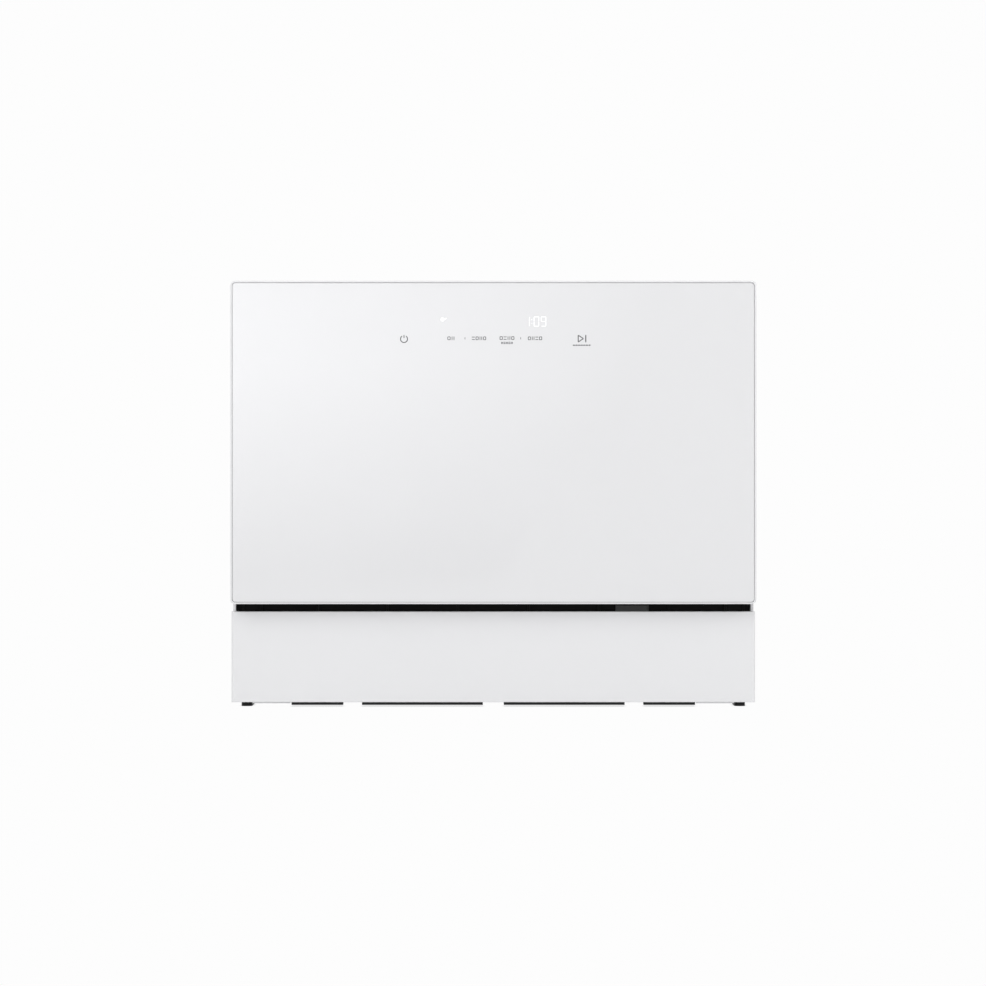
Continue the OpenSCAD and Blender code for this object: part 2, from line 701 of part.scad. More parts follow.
// From the drain pump back and across to the rear spigot
module drain_hose() color("#4b4e52") {
  x = drain_pump_x + drain_out.x;
  rod_y([x, filter_y + drain_out.y, drain_z], hose_y - hose_bend, pipe_r + 1);
  translate([x - hose_bend, hose_y - hose_bend, drain_z]) bend(hose_bend, pipe_r + 1);
  rod_x([drain_at.x + hose_bend, hose_y, drain_z], x - hose_bend, pipe_r + 1);
  translate([drain_at.x + hose_bend, hose_y + hose_bend, drain_z]) rotate(180) bend(hose_bend, pipe_r + 1);
}

// Threaded stub through the rear panel, its valve block and an outlet to the left
module inlet_valve() color("#f0f0ee") {
  difference() {
    union() {
      rod_y(inlet_at - [0, 8, 0], bay_y + 1, inlet_r - 2);
      rod_y(inlet_at, bay_y + inlet_l, inlet_r);
    }
    rod_y(inlet_at + [0, 1, 0], bay_y + inlet_l + 1, inlet_r - 4);
  }
  block(inlet_at - [16, 40, 16], inlet_at + [16, -8 + eps, 16]);
  rod_x([fill_x + 18, fill_y, drain_z], inlet_at.x - 16 + eps, pipe_r);
}

module fill_hose() color("#4b4e52") {
  translate([fill_x + 18, fill_y, drain_z + 18]) rotate([90, 0, 0]) rotate(180) bend(18, pipe_r);
  translate([fill_x, fill_y, drain_z + 18]) cylinder(r = pipe_r, h = chamber[2] - drain_z - 18);
}

module air_break() color("#e8e9ea")
  block([-case_in + 3, chamber[0], chamber[2]], [-tub_half - tub_t - 7, chamber[1], chamber[3]]);

// Circuit board with its transformer, relay block and capacitors
module power_board() color("#3d6b4a") translate([pcb_at.x, pcb_at.y, pcb_z]) {
  cube([pcb_w, pcb_l, pcb_t]);
  translate([10, 20, pcb_t - eps]) cube([30, 40, 30]);
  translate([pcb_w - 35, 30, pcb_t - eps]) cube([27, 70, 20]);
  for (i = [0:2]) translate([25, 75 + i * 20, pcb_t - eps]) cylinder(r = 7, h = 26);
}

module rear_spigot() color("#d8d9db") difference() {
  union() {
    rod_y([drain_at.x, spigot_in, drain_at.z], bay_y, drain_r + 1);
    rod_y(drain_at - [0, eps, 0], bay_y + drain_l, drain_r);
    rod_y([drain_at.x, bay_y - panel_t - 4, drain_at.z], bay_y - panel_t, 16);
  }
  rod_y([drain_at.x, spigot_in + 3, drain_at.z], bay_y + drain_l + 1, drain_r - 2);
}

module lead_gland() color("#2a2b2d") difference() {
  union() {
    rod_y(lead_at - [0, 7, 0], bay_y + 10, 11);
    rod_y(lead_at, bay_y + 3, 14);
  }
  rod_y(lead_at - [0, 8, 0], bay_y + 11, lead_r);
}

// Hollow post through the tub floor that the lower arm turns on, with a retaining cap
module arm_post() color("#9fa3a8") translate([0, arm_y, 0]) difference() {
  union() {
    translate([0, 0, post_low]) cylinder(r = pivot_r + 2.5, h = tub_floor - post_low + eps);
    translate([0, 0, tub_floor]) cylinder(r = pivot_r + 8, h = arm_z - 2 - fit - tub_floor);
    translate([0, 0, tub_floor]) cylinder(r = pivot_r, h = hub_top + 5 - tub_floor);
    translate([0, 0, hub_top + fit]) cylinder(r = pivot_r + 3.5, h = 3.5);
  }
  translate([0, 0, post_low - 1]) cylinder(r = pivot_r - 2.5, h = hub_top - post_low);
}

// Pipe from the heater up the back of the tub and along its ceiling to the upper arm
module spray_riser() color("#9fa3a8") {
  y1 = riser_y - riser_bend;
  translate([0, y1, roof_pipe_z - riser_bend]) bend_yz(riser_bend, riser_r);
  translate([0, riser_y, sump_z + riser_bend]) cylinder(r = riser_r, h = roof_pipe_z - sump_z - 2 * riser_bend);
  translate([0, y1, sump_z + riser_bend]) mirror([0, 0, 1]) bend_yz(riser_bend, riser_r);
  rod_y([0, arm_y + 14, sump_z], y1, riser_r);
  rod_y([0, arm_y, roof_pipe_z], y1, riser_r);
  translate([0, arm_y, socket_z]) cylinder(r = riser_r + 3, h = roof_pipe_z - socket_z);
  translate([0, arm_y, top_arm_z - 5]) cylinder(r = pivot_r, h = 24);
  translate([0, arm_y, top_arm_z - 5.5]) cylinder(r = pivot_r + 3, h = 3.2);
}

// Outline of one half of a spray arm, with a round tip
module blade(length, root, tip) {
  polygon([[0, -root / 2], [length - tip / 2, -tip / 2], [length - tip / 2, tip / 2], [0, root / 2]]);
  translate([length - tip / 2, 0]) circle(tip / 2);
}

// Two blades on a hub that stands 3 below z0 and 2 above the blades, with nozzles on top
module spray_arm(length, root, tip, thick) difference() {
  union() {
    for (a = [0, 180]) rotate(a) {
      along_z(0, thick - 2) blade(length, root, tip);
      along_z(thick - 2 - eps, thick) blade(length - 3, root - 6, tip - 6);
      for (i = [0:4]) translate([length * (0.3 + 0.15 * i), 0, thick - eps]) cylinder(r1 = 3.4, r2 = 2.6, h = 1.6);
    }
    translate([0, 0, -2]) cylinder(r = root / 2 + 2, h = thick + 4);
  }
  translate([0, 0, -5]) cylinder(r = pivot_r + 0.1, h = thick + 20);
  for (a = [0, 180]) rotate(a) for (i = [0:4])
    translate([length * (0.3 + 0.15 * i), 0, thick - 1]) cylinder(r = 1.2, h = 5);
}

module lower_spray_arm() color("#b9bdc2") translate([0, arm_y, arm_z]) spray_arm(arm_r, 40, 24, arm_t);

module upper_spray_arm() color("#b9bdc2") translate([0, arm_y, top_arm_z + top_arm_t])
  mirror([0, 0, 1]) spray_arm(top_arm_r, 30, 18, top_arm_t);

module float_cap() color("#d5d7d9") translate([float_at.x, float_at.y, tub_floor]) {
  difference() {
    translate([0, 0, fit]) cylinder(r = 15, h = 14);
    translate([0, 0, -1]) cylinder(r = 13, h = 13);
  }
  translate([0, 0, -20]) cylinder(r = 4, h = 33);
}

// ---------- door ----------

module door_side(y0, y1, inset) along_y(y0, y1) round_rect_at([-half_w + inset, door_bottom + inset],
  [half_w - inset, body_h - inset], max(door_corner - inset, 0.6));

// The bevel's outline, from the door's lower edge up its inner face; back shifts it outwards
module bevel_cut(back) along_x(-half_w - 1, half_w + 1) polygon([
  [door_back - bevel_in - back - bevel_in / door_bevel, door_bottom - 1], [door_back + 1, door_bottom - 1],
  [door_back + 1, door_bottom + door_bevel], [door_back - back, door_bottom + door_bevel],
  [door_back - bevel_in - back, door_bottom]
]);

// Room for the fixed ears and the arms' tails while the door swings
module hinge_notch() both_sides() {
  block([bracket_x - 3.5, hinge_y - ear_r - 1, door_bottom - 1], [arm_x, door_back + 1, hinge_z + ear_r + 1]);
  block([arm_x - eps, hinge_y + ear_r, hinge_z - 8], [arm_x + hinge_t + 0.5, door_back + 1, tail_z + 8]);
}

module grip_cut(grow) translate([0, grip_y, body_h - 10 - grow])
  linear_extrude(30) round_rect(grip_l + 2 * grow, 18 + 2 * grow, 6 + grow);

module door_frame() color("#f7f7f9") difference() {
  union() {
    difference() {
      door_side(front_y, liner_y, 0);
      door_side(front_y - 1, glass_back, door_rim);
      door_side(glass_back - 1, glass_back + frame_t, 14);
      door_side(glass_back + frame_t - eps, liner_y + 1, frame_t);
    }
    // pocket of the grip scoop
    intersection() {
      grip_cut(1.6);
      door_side(glass_back, liner_y, 1);
    }
    // bosses for the hinge arms
    both_sides() for (z = [40, 80, 115])
      rod_x([arm_x + hinge_t, hinge_y - 1, hinge_z + z], half_w - 1, 5);
  }
  grip_cut(0);
  bevel_cut(bevel_t);
  hinge_notch();
}

module door_glass() color("#fbfbfd") door_side(glass_face, glass_back, door_rim + glass_gap);

module door_liner() color("#c9ccd0") difference() {
  union() {
    door_side(liner_y, door_back, 1);
    along_y(pan_y, liner_y + eps) round_rect_at([-pan_half, pan_low], [pan_half, pan_high], 14);
    along_x(-half_w + 1, half_w - 1) polygon([
      [door_back - bevel_in - bevel_t, door_bottom], [door_back - bevel_in, door_bottom],
      [door_back, door_bottom + door_bevel], [door_back - bevel_t, door_bottom + door_bevel]
    ]);
  }
  along_y(pan_face, door_back + 1)
    round_rect_at([-pan_half + liner_t, pan_low + liner_t], [pan_half - liner_t, pan_high - liner_t], 14 - liner_t);
  bevel_cut(0);
  hinge_notch();
  // windows for the dispenser and the latch
  along_y(pan_y - 2, pan_y + 3) round_rect_at(disp_low + disp_lap, disp_high - disp_lap, 1);
  block([-7, liner_y - 1, latch_low - 5], [7, door_back + 1, latch_high]);
}

// Board behind the glass, with spring pads that sense a finger through it
module control_board() color("#2f6b46") {
  y = glass_back + 5;
  block([-130, y, board_z - 18], [130, y + pcb_t, board_z + 30]);
  for (x = [-90, -30, 30]) block([x, y + pcb_t - eps, board_z - 8], [x + 16, y + 4, board_z + 8]);
  for (x = key_xs) rod_y([x, glass_back, board_z], y + eps, 3);
}

// The digits' light box, and a small one for the indicator lamp
module display_module() color("#1b1c1e") for (x = [[24, 74], [-58, -46]])
  block([x[0], glass_back, board_z + 12], [x[1], glass_back + 5, board_z + 26]);

// Moulding let into the liner: detergent cup, release button's bore and rinse-aid tank
module dispenser_body() color("#9da1a6") difference() {
  union() {
    along_y(pan_face, disp_face) round_rect_at(disp_low, disp_high, 4);
    along_y(disp_back, pan_face + eps) round_rect_at(disp_low + disp_lap, disp_high - disp_lap, 1);
  }
  along_y(disp_back + 1.5, disp_face + 1) round_rect_at(cup_low, cup_high, 6);
  rod_y([button_at.x, disp_back + 3, button_at.y], disp_face + 1, button_r + running);
  rod_y([cap_at.x, disp_back + 3, cap_at.y], disp_face + 1, cap_stem + running);
}

module dispenser_lid() color("#b4b8bd") along_y(disp_face + fit, disp_face + 2.8)
  round_rect_at(cup_low - [3, 3], cup_high + [3, 3], 7);

module dispenser_button() color("#5a5e63")
  rod_y([button_at.x, disp_face - 6, button_at.y], disp_face + 2.8, button_r);

module rinse_cap() color("#63676c") translate([cap_at.x, 0, cap_at.y]) {
  rod_y([0, disp_face - 6, 0], disp_face + 1, cap_stem);
  rod_y([0, disp_face + fit, 0], disp_face + 2.2, cap_r);
  block([-cap_r + 3, disp_face + 1, -2.5], [cap_r - 3, disp_face + 5, 2.5]);
}

// ---------- rack ----------

module rack_long_wires() color("#8f9499") for (i = [-long_n:long_n])
  translate([i * long_pitch, (leg_front + leg_back) / 2, floor_z]) rotate([0, 0, 90])
    u_wire((leg_back - leg_front) / 2, rack_h + 1, bend_r, wire_r);

module rack_cross_wires() color("#8f9499") for (y = cross_ys)
  translate([0, y, cross_z]) u_wire(leg_half, rim_z + 1 - cross_z, bend_r, wire_r);

module rack_rims() color("#8f9499") for (z = [mid_rim_z, rim_z])
  translate([0, 0, z]) wire_ring(rim_half, rim_front, rim_back, bend_r + 2, rim_r);

// Grip moulded over both rims at the front
module rack_handle() color("#6d7278") difference() {
  along_y(rack_front - 3, rim_front + rim_r + 1) round_rect_at([-65, mid_rim_z - 5], [65, rim_z + 5], 6);
  along_y(rack_front - 4, rim_front + rim_r + 3) round_rect_at([-52, mid_rim_z + 10], [52, rim_z - 10], 5);
  for (z = [mid_rim_z, rim_z]) rod_x([-70, rim_front, z], 70, rim_r);
  for (i = [-long_n:long_n]) translate([i * long_pitch, leg_front, 0]) cylinder(r = wire_r, h = body_h);
}

// Wheel clips grip two side wires, tine clips grip a long wire, and shelf clips a side wire
module rack_clips() color("#6d7278") {
  both_sides() for (y = wheel_ys) {
    difference() {
      block([leg_half, y - cross_pitch / 2 - 5, floor_z + bend_r + 2],
            [rack_half, y + cross_pitch / 2 + 5, mid_rim_z - rim_r - 2]);
      for (c = [-0.5, 0.5]) translate([leg_half, y + c * cross_pitch, 0]) cylinder(r = wire_r, h = body_h);
    }
    block([leg_half + 1, y - 9, axle_z - 6], [rack_half, y + 9, floor_z + bend_r + 2 + eps]);
    rod_x([rack_half - eps, y, axle_z], wheel_x + wheel_w / 2 + 1.2, axle_r);
  }
  for (y = tine_ys, x = clip_xs) difference() {
    block([x - 4, y - 5, floor_z - 3], [x + 4, y + 5, rod_z + 4]);
    rod_x([x - 5, y, rod_z], x + 5, rod_r + running);
    rod_y([x, y - 6, floor_z], y + 6, wire_r);
  }
  for (y = shelf_ys) difference() {
    block([-leg_half - wire_r - 2, y - 4, shelf_z - 5], [shelf_x + shelf_rod + 2, y + 4, shelf_z + 5]);
    translate([-leg_half, y, 0]) cylinder(r = wire_r, h = body_h);
    rod_y([shelf_x, y - 5, shelf_z], y + 5, shelf_rod + running);
  }
}

// Spoked wheel on a plain axle
module rack_wheel(side, y) color("#4f5358") translate([side * wheel_x, y, axle_z]) difference() {
  rod_x([-wheel_w / 2, 0, 0], wheel_w / 2, wheel_r);
  rod_x([-wheel_w, 0, 0], wheel_w, axle_r + running);
  for (a = [0:5]) rotate([a * 60, 0, 0]) rod_x([-wheel_w, 7.6, 0], wheel_w, 2.6);
}

module front_left_wheel() rack_wheel(-1, wheel_ys[0]);
module front_right_wheel() rack_wheel(1, wheel_ys[0]);
module rear_left_wheel() rack_wheel(-1, wheel_ys[1]);
module rear_right_wheel() rack_wheel(1, wheel_ys[1]);

module tine_row(y) {
  rod_x([tine_xs[0] - 4, y, rod_z], tine_xs[len(tine_xs) - 1] + 4, rod_r);
  for (x = tine_xs) translate([x, y, rod_z]) cylinder(r = wire_r, h = tine_h);
}

module front_tines() color("#8f9499") tine_row(tine_ys[0]);
module rear_tines() color("#8f9499") tine_row(tine_ys[1]);

// Slotted shelf on a rod, folding up against the rack's side
module cup_shelf() color("#7f858b") {
  pitch = (shelf_ys[1] - shelf_ys[0] - 12) / shelf_slots;
  rod_y([shelf_x, shelf_ys[0] - 5, shelf_z], shelf_ys[1] + 5, shelf_rod);
  difference() {
    block([shelf_x, shelf_ys[0] + 6, shelf_z - shelf_t / 2],
          [shelf_x + shelf_w, shelf_ys[1] - 6, shelf_z + shelf_t / 2]);
    for (i = [0:shelf_slots - 1])
      block([shelf_x + 10, shelf_ys[0] + 8 + i * pitch, shelf_z - shelf_t],
            [shelf_x + shelf_w - 6, shelf_ys[0] + 4 + (i + 1) * pitch, shelf_z + shelf_t]);
  }
}

// Basket of four compartments with slotted walls
module cutlery_basket() color("#7f858b") {
  low = [basket_x - basket_w / 2, basket_y - basket_l / 2, deck_z + fit];
  wall = 1.8;
  cell = (basket_l - wall) / 4;
  difference() {
    translate(low) cube([basket_w, basket_l, basket_h]);
    for (i = [0:3]) {
      translate(low + [wall, wall + i * cell, wall]) cube([basket_w - 2 * wall, cell - wall, basket_h]);
      for (z = [0:2]) translate(low + [-1, wall + i * cell + 5, 12 + z * 27])
        cube([basket_w + 2, cell - wall - 10, 18]);
    }
  }
}

base_tray();
feet();
plinth_panel();
gap_cover();
left_side_panel();
right_side_panel();
top_cover();
rear_panel();
case_screws();
tub();
tub_blanket();
door_seal();
rack_rails();
hinge_brackets();
hinge_pins();
door_springs();
latch_keeper();
sump();
flat_filter();
filter_cup();
wash_pump();
flow_heater();
drain_pump();
drain_hose();
inlet_valve();
fill_hose();
air_break();
power_board();
lead_gland();
rear_spigot();
arm_post();
spray_riser();
lower_spray_arm();
upper_spray_arm();
float_cap();
door_frame();
door_glass();
door_liner();
control_board();
display_module();
hinge_arms();
latch_case();
latch_hook();
dispenser_body();
dispenser_lid();
dispenser_button();
rinse_cap();
rack_long_wires();
rack_cross_wires();
rack_rims();
rack_handle();
rack_clips();
front_left_wheel();
front_right_wheel();
rear_left_wheel();
rear_right_wheel();
front_tines();
rear_tines();
cup_shelf();
cutlery_basket();
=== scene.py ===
"""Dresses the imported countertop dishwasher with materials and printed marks, and sets its stage."""

import json
import math

import bmesh
import bpy
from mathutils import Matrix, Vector


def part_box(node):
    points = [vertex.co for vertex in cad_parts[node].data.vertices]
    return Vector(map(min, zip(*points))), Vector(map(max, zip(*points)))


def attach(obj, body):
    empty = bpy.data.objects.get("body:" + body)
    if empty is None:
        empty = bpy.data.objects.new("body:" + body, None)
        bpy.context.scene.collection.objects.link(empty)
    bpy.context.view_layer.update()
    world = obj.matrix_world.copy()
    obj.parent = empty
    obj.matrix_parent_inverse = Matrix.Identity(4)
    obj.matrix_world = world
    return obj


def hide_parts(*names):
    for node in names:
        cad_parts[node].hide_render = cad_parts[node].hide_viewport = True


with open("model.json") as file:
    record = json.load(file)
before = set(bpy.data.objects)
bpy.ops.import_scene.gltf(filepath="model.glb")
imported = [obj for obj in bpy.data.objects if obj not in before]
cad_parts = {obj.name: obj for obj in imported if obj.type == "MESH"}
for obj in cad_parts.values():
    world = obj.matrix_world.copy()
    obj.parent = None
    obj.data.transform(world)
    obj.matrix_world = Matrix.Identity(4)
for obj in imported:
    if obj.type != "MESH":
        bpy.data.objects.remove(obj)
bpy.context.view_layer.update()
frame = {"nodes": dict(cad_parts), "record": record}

bl_info = {
    "name": "Countertop Dishwasher",
    "version": (1, 0, 0),
    "blender": (4, 5, 0),
    "location": "View3D > Sidebar > Dishwasher",
    "description": "Adds materials, printed marks, fasteners and a studio to the dishwasher's solids",
    "category": "Object",
}

MM = 0.001

# The photograph's scale on the door glass, the pixel at the object's middle, and the height of that pixel
PX = 0.55 / 526
MID_PX = (493.3, 494.1)
EYE_Z = 0.223
IMAGE_PX = 986
SENSOR = 36.0
CAMERA_DISTANCE = 4.0

GLASS_LOW, GLASS_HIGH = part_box("door_glass")
GLASS_Y = GLASS_LOW.y
DOOR_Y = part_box("door_frame")[0].y
INK_THICKNESS = 0.00004

# Dust is a warm grey; on white plastic and paint it hardly shows
DUST = (0.42, 0.40, 0.37, 1)
PALE_DUST = (0.7, 0.69, 0.66, 1)


# ---------- settings ----------


class DishwasherColours(bpy.types.PropertyGroup):
    """Colours of the larger surfaces"""

    enamel: bpy.props.FloatVectorProperty(
        name="Enamel", description="Painted side panels", subtype="COLOR", size=3,
        default=(0.81, 0.81, 0.822), min=0, max=1,
    )
    moulding: bpy.props.FloatVectorProperty(
        name="White moulding", description="Door frame, plinth and top cover", subtype="COLOR", size=3,
        default=(0.742, 0.742, 0.75), min=0, max=1,
    )
    glass: bpy.props.FloatVectorProperty(
        name="Glass", description="Back-painted glass of the door", subtype="COLOR", size=3,
        default=(0.722, 0.721, 0.729), min=0, max=1,
    )
    base: bpy.props.FloatVectorProperty(
        name="Base", description="Black base tray and feet", subtype="COLOR", size=3,
        default=(0.017, 0.017, 0.0175), min=0, max=1,
    )
    steel: bpy.props.FloatVectorProperty(
        name="Steel", description="Tub, rails and door liner", subtype="COLOR", size=3,
        default=(0.62, 0.63, 0.64), min=0, max=1,
    )
    ink: bpy.props.FloatVectorProperty(
        name="Ink", description="Printed marks on the glass", subtype="COLOR", size=3,
        default=(0.022, 0.022, 0.026), min=0, max=1,
    )
    lamp: bpy.props.FloatVectorProperty(
        name="Lamp", description="Lit digits behind the glass", subtype="COLOR", size=3,
        default=(1.0, 1.0, 1.0), min=0, max=1,
    )


class DishwasherPane(bpy.types.PropertyGroup):
    """Sizes of the door glass and of the dark strip round it, which is painted shade in the gap"""

    corner: bpy.props.FloatProperty(
        name="Corner", description="Radius of the pane's corners",
        default=2.9 * MM, min=1.0 * MM, max=6.0 * MM,
        subtype="DISTANCE", unit="LENGTH", precision=5,
    )
    edge: bpy.props.FloatProperty(
        name="Ground edge", description="Width of the pane's ground front edge",
        default=0.45 * MM, min=0.1 * MM,
        max=1.0 * MM, subtype="DISTANCE", unit="LENGTH", precision=5,
    )
    # width of the dark strip that paints the shade in the gap round the glass
    bead: bpy.props.FloatProperty(
        name="Bead", description="Width of the grey bead that shows round the pane", default=0.35 * MM,
        min=0.1 * MM, max=0.4 * MM, subtype="DISTANCE", unit="LENGTH", precision=5,
    )


class DishwasherPrint(bpy.types.PropertyGroup):
    """Printed and lit marks on the glass"""

    stroke: bpy.props.FloatProperty(
        name="Stroke", description="Width of a printed line", default=0.75 * MM, min=0.3 * MM, max=1.5 * MM,
        subtype="DISTANCE", unit="LENGTH", precision=5,
    )
    digits: bpy.props.StringProperty(
        name="Digits", description="What the display shows: digits and a colon", default="1:09", maxlen=5
    )
    digit_h: bpy.props.FloatProperty(
        name="Digit height", description="Height of a lit digit", default=9.8 * MM, min=6 * MM, max=14 * MM,
        subtype="DISTANCE", unit="LENGTH", precision=5,
    )


class DishwasherStage(bpy.types.PropertyGroup):
    """Studio light and backdrop"""

    backdrop: bpy.props.FloatProperty(
        name="Backdrop", description="Brightness of the backdrop and floor as the camera sees them",
        default=0.982, min=0, max=1,
    )
    ambient: bpy.props.FloatProperty(
        name="Ambient", description="Strength of the soft light from all sides", default=0.62, min=0, max=2
    )
    key: bpy.props.FloatProperty(
        name="Key light", description="Power of the large soft light",
        default=42.0, min=0, max=400, unit="POWER"
    )
    front: bpy.props.FloatProperty(
        name="Front light", description="Power of the low light that fills the shade under the door",
        default=20.0, min=0, max=200, unit="POWER",
    )
    sheen: bpy.props.FloatProperty(
        name="Reflected card", description="Strength of the card that the door glass reflects", default=4.1,
        min=0, max=12,
    )


def colours():
    return bpy.context.scene.dishwasher_colours


def pane():
    return bpy.context.scene.dishwasher_pane


def prints():
    return bpy.context.scene.dishwasher_print


def stage():
    return bpy.context.scene.dishwasher_stage


# ---------- shader node groups ----------


def new_group(name, inputs, outputs):
    """A shader node group with float, colour or vector sockets; returns (group, input node, output node)."""
    g = bpy.data.node_groups.new(name, "ShaderNodeTree")
    kinds = {"f": "NodeSocketFloat", "c": "NodeSocketColor", "v": "NodeSocketVector"}
    for side, sockets in (("INPUT", inputs), ("OUTPUT", outputs)):
        for label, kind, *default in sockets:
            s = g.interface.new_socket(name=label, in_out=side, socket_type=kinds[kind])
            if default:
                s.default_value = default[0]
    return g, g.nodes.new("NodeGroupInput"), g.nodes.new("NodeGroupOutput")


def feed(tree, n, key, value):
    """Links a socket, or sets a value, at an input named with _ for spaces, or numbered as i0, i1."""
    s = n.inputs[int(key[1:])] if key[0] == "i" and key[1:].isdigit() else n.inputs[key.replace("_", " ")]
    if isinstance(value, bpy.types.NodeSocket):
        tree.links.new(value, s)
    else:
        s.default_value = value


def node(tree, kind, settings=None, **inputs):
    """Adds a node with its settings and inputs."""
    n = tree.nodes.new(kind)
    for key, value in (settings or {}).items():
        setattr(n, key, value)
    for key, value in inputs.items():
        feed(tree, n, key, value)
    return n


def noise(tree, vector, scale, detail=2.0, distortion=0.0):
    return node(
        tree, "ShaderNodeTexNoise", None, Vector=vector, Scale=scale, Detail=detail, Distortion=distortion
    ).outputs[0]


def maths(tree, op, a, b=0.0, clamp=False):
    return node(tree, "ShaderNodeMath", {"operation": op, "use_clamp": clamp}, i0=a, i1=b).outputs[0]


def remap(tree, value, low, high, to_low=0.0, to_high=1.0):
    return node(
        tree, "ShaderNodeMapRange", None, Value=value,
        From_Min=low, From_Max=high, To_Min=to_low, To_Max=to_high,
    ).outputs["Result"]


def spread_about(tree, value, amount):
    """A noise value moved to centre on 0 and scaled."""
    return maths(tree, "MULTIPLY", maths(tree, "SUBTRACT", value, 0.5), amount)


def mix_colour(tree, factor, a, b):
    return node(tree, "ShaderNodeMix", {"data_type": "RGBA"}, i0=factor, i6=a, i7=b).outputs[2]


def scale_colour(tree, colour, gain):
    return node(tree, "ShaderNodeVectorMath", {"operation": "SCALE"}, i0=colour, Scale=gain).outputs[0]


def grey_of(tree, value):
    return node(tree, "ShaderNodeCombineColor", None, Red=value, Green=value, Blue=value).outputs[0]


def object_coords(tree, scale=(1, 1, 1)):
    coords = tree.nodes.new("ShaderNodeTexCoord")
    return node(tree, "ShaderNodeMapping", None, Vector=coords.outputs["Object"], Scale=scale).outputs[0]


def make_tint():
    """Slow drift of a colour, plus fine flecks."""
    g, gi, go = new_group(
        "Surface tint",
        [
            ("Color", "c", (0.8, 0.8, 0.8, 1)), ("Drift", "f", 0.03), ("Flecks", "f", 0.02),
            ("Fleck Scale", "f", 900.0),
        ],
        [("Color", "c")],
    )
    co = object_coords(g)
    drift = spread_about(g, noise(g, co, 5.0, 3.0), gi.outputs["Drift"])
    flecks = spread_about(g, noise(g, co, gi.outputs["Fleck Scale"]), gi.outputs["Flecks"])
    gain = maths(g, "ADD", maths(g, "ADD", drift, flecks), 1.0)
    feed(g, go, "Color", scale_colour(g, gi.outputs["Color"], gain))
    return g


def make_dust():
    """Mask of fine dust that lies on upward faces and in patches."""
    g, gi, go = new_group("Dust", [("Amount", "f", 0.3)], [("Mask", "f")])
    co = object_coords(g)
    surface = g.nodes.new("ShaderNodeNewGeometry")
    normal = node(g, "ShaderNodeSeparateXYZ", None, Vector=surface.outputs["Normal"])
    up = remap(g, normal.outputs["Z"], 0.2, 1.0, 0.08, 1.0)
    patch = remap(g, noise(g, co, 18.0, 5.0), 0.42, 0.68)
    specks = remap(g, noise(g, co, 700.0), 0.55, 0.75)
    mask = maths(g, "ADD", maths(g, "MULTIPLY", patch, 0.5), maths(g, "MULTIPLY", specks, 0.5))
    feed(g, go, "Mask", maths(g, "MULTIPLY", maths(g, "MULTIPLY", mask, up), gi.outputs["Amount"], True))
    return g


def make_soft_edge():
    """Rounded-looking edges: a mask of the edges and their softened normal."""
    g, gi, go = new_group("Soft edge", [("Radius", "f", 0.0008)], [("Normal", "v"), ("Edge", "f")])
    soft = node(g, "ShaderNodeBevel", {"samples": 4}, Radius=gi.outputs["Radius"]).outputs[0]
    true = g.nodes.new("ShaderNodeNewGeometry").outputs["Normal"]
    dot = node(g, "ShaderNodeVectorMath", {"operation": "DOT_PRODUCT"}, i0=soft, i1=true).outputs["Value"]
    feed(g, go, "Normal", soft)
    feed(g, go, "Edge", remap(g, dot, 0.98, 0.8))
    return g


def make_grain():
    """Moulded grain, or orange peel in paint: a height for a bump, and a roughness that drifts."""
    g, gi, go = new_group(
        "Grain",
        [("Scale", "f", 1200.0), ("Roughness", "f", 0.4), ("Spread", "f", 0.08)],
        [("Height", "f"), ("Roughness", "f")],
    )
    co = object_coords(g)
    fine = noise(g, co, gi.outputs["Scale"], 3.0)
    cells = node(g, "ShaderNodeTexVoronoi", None, Vector=co, Scale=gi.outputs["Scale"]).outputs["Distance"]
    feed(g, go, "Height", maths(g, "ADD", maths(g, "MULTIPLY", fine, 0.6), maths(g, "MULTIPLY", cells, 0.4)))
    drift = spread_about(g, noise(g, co, 22.0, 4.0), gi.outputs["Spread"])
    feed(g, go, "Roughness", maths(g, "ADD", gi.outputs["Roughness"], drift))
    return g


def make_brushed():
    """Brush lines along X: a height for a bump, a roughness and a tone."""
    g, gi, go = new_group(
        "Brushed", [("Roughness", "f", 0.3)], [("Height", "f"), ("Roughness", "f"), ("Tone", "f")]
    )
    lines = noise(g, object_coords(g, (6, 900, 900)), 1.0, 4.0)
    broad = noise(g, object_coords(g, (1, 60, 60)), 1.0)
    marks = noise(g, object_coords(g), 30.0, 6.0)
    feed(g, go, "Height", lines)
    rough = maths(g, "ADD", spread_about(g, lines, 0.2), spread_about(g, marks, 0.18))
    feed(g, go, "Roughness", maths(g, "ADD", gi.outputs["Roughness"], rough))
    feed(g, go, "Tone", remap(g, maths(g, "ADD", lines, broad), 0.7, 1.3, 0.88, 1.06))
    return g


GROUPS = {}


def use(tree, name, **inputs):
    """Places one of the shared groups in a material."""
    return node(tree, "ShaderNodeGroup", {"node_tree": GROUPS[name]}, **inputs)


# ---------- materials ----------


def new_material(name):
    m = bpy.data.materials.new(name)
    m.use_nodes = True
    m.node_tree.nodes.clear()
    out = m.node_tree.nodes.new("ShaderNodeOutputMaterial")
    bsdf = m.node_tree.nodes.new("ShaderNodeBsdfPrincipled")
    m.node_tree.links.new(bsdf.outputs[0], out.inputs[0])
    return m, m.node_tree, bsdf


def add_bump(tree, bsdf, height, strength, distance, radius=0.0):
    """Feeds a height to the shader's normal, over softened edges where a radius is given."""
    n = node(tree, "ShaderNodeBump", None, Height=height, Strength=strength, Distance=distance)
    if radius:
        feed(tree, n, "Normal", use(tree, "edge", Radius=radius).outputs["Normal"])
    feed(tree, bsdf, "Normal", n.outputs[0])


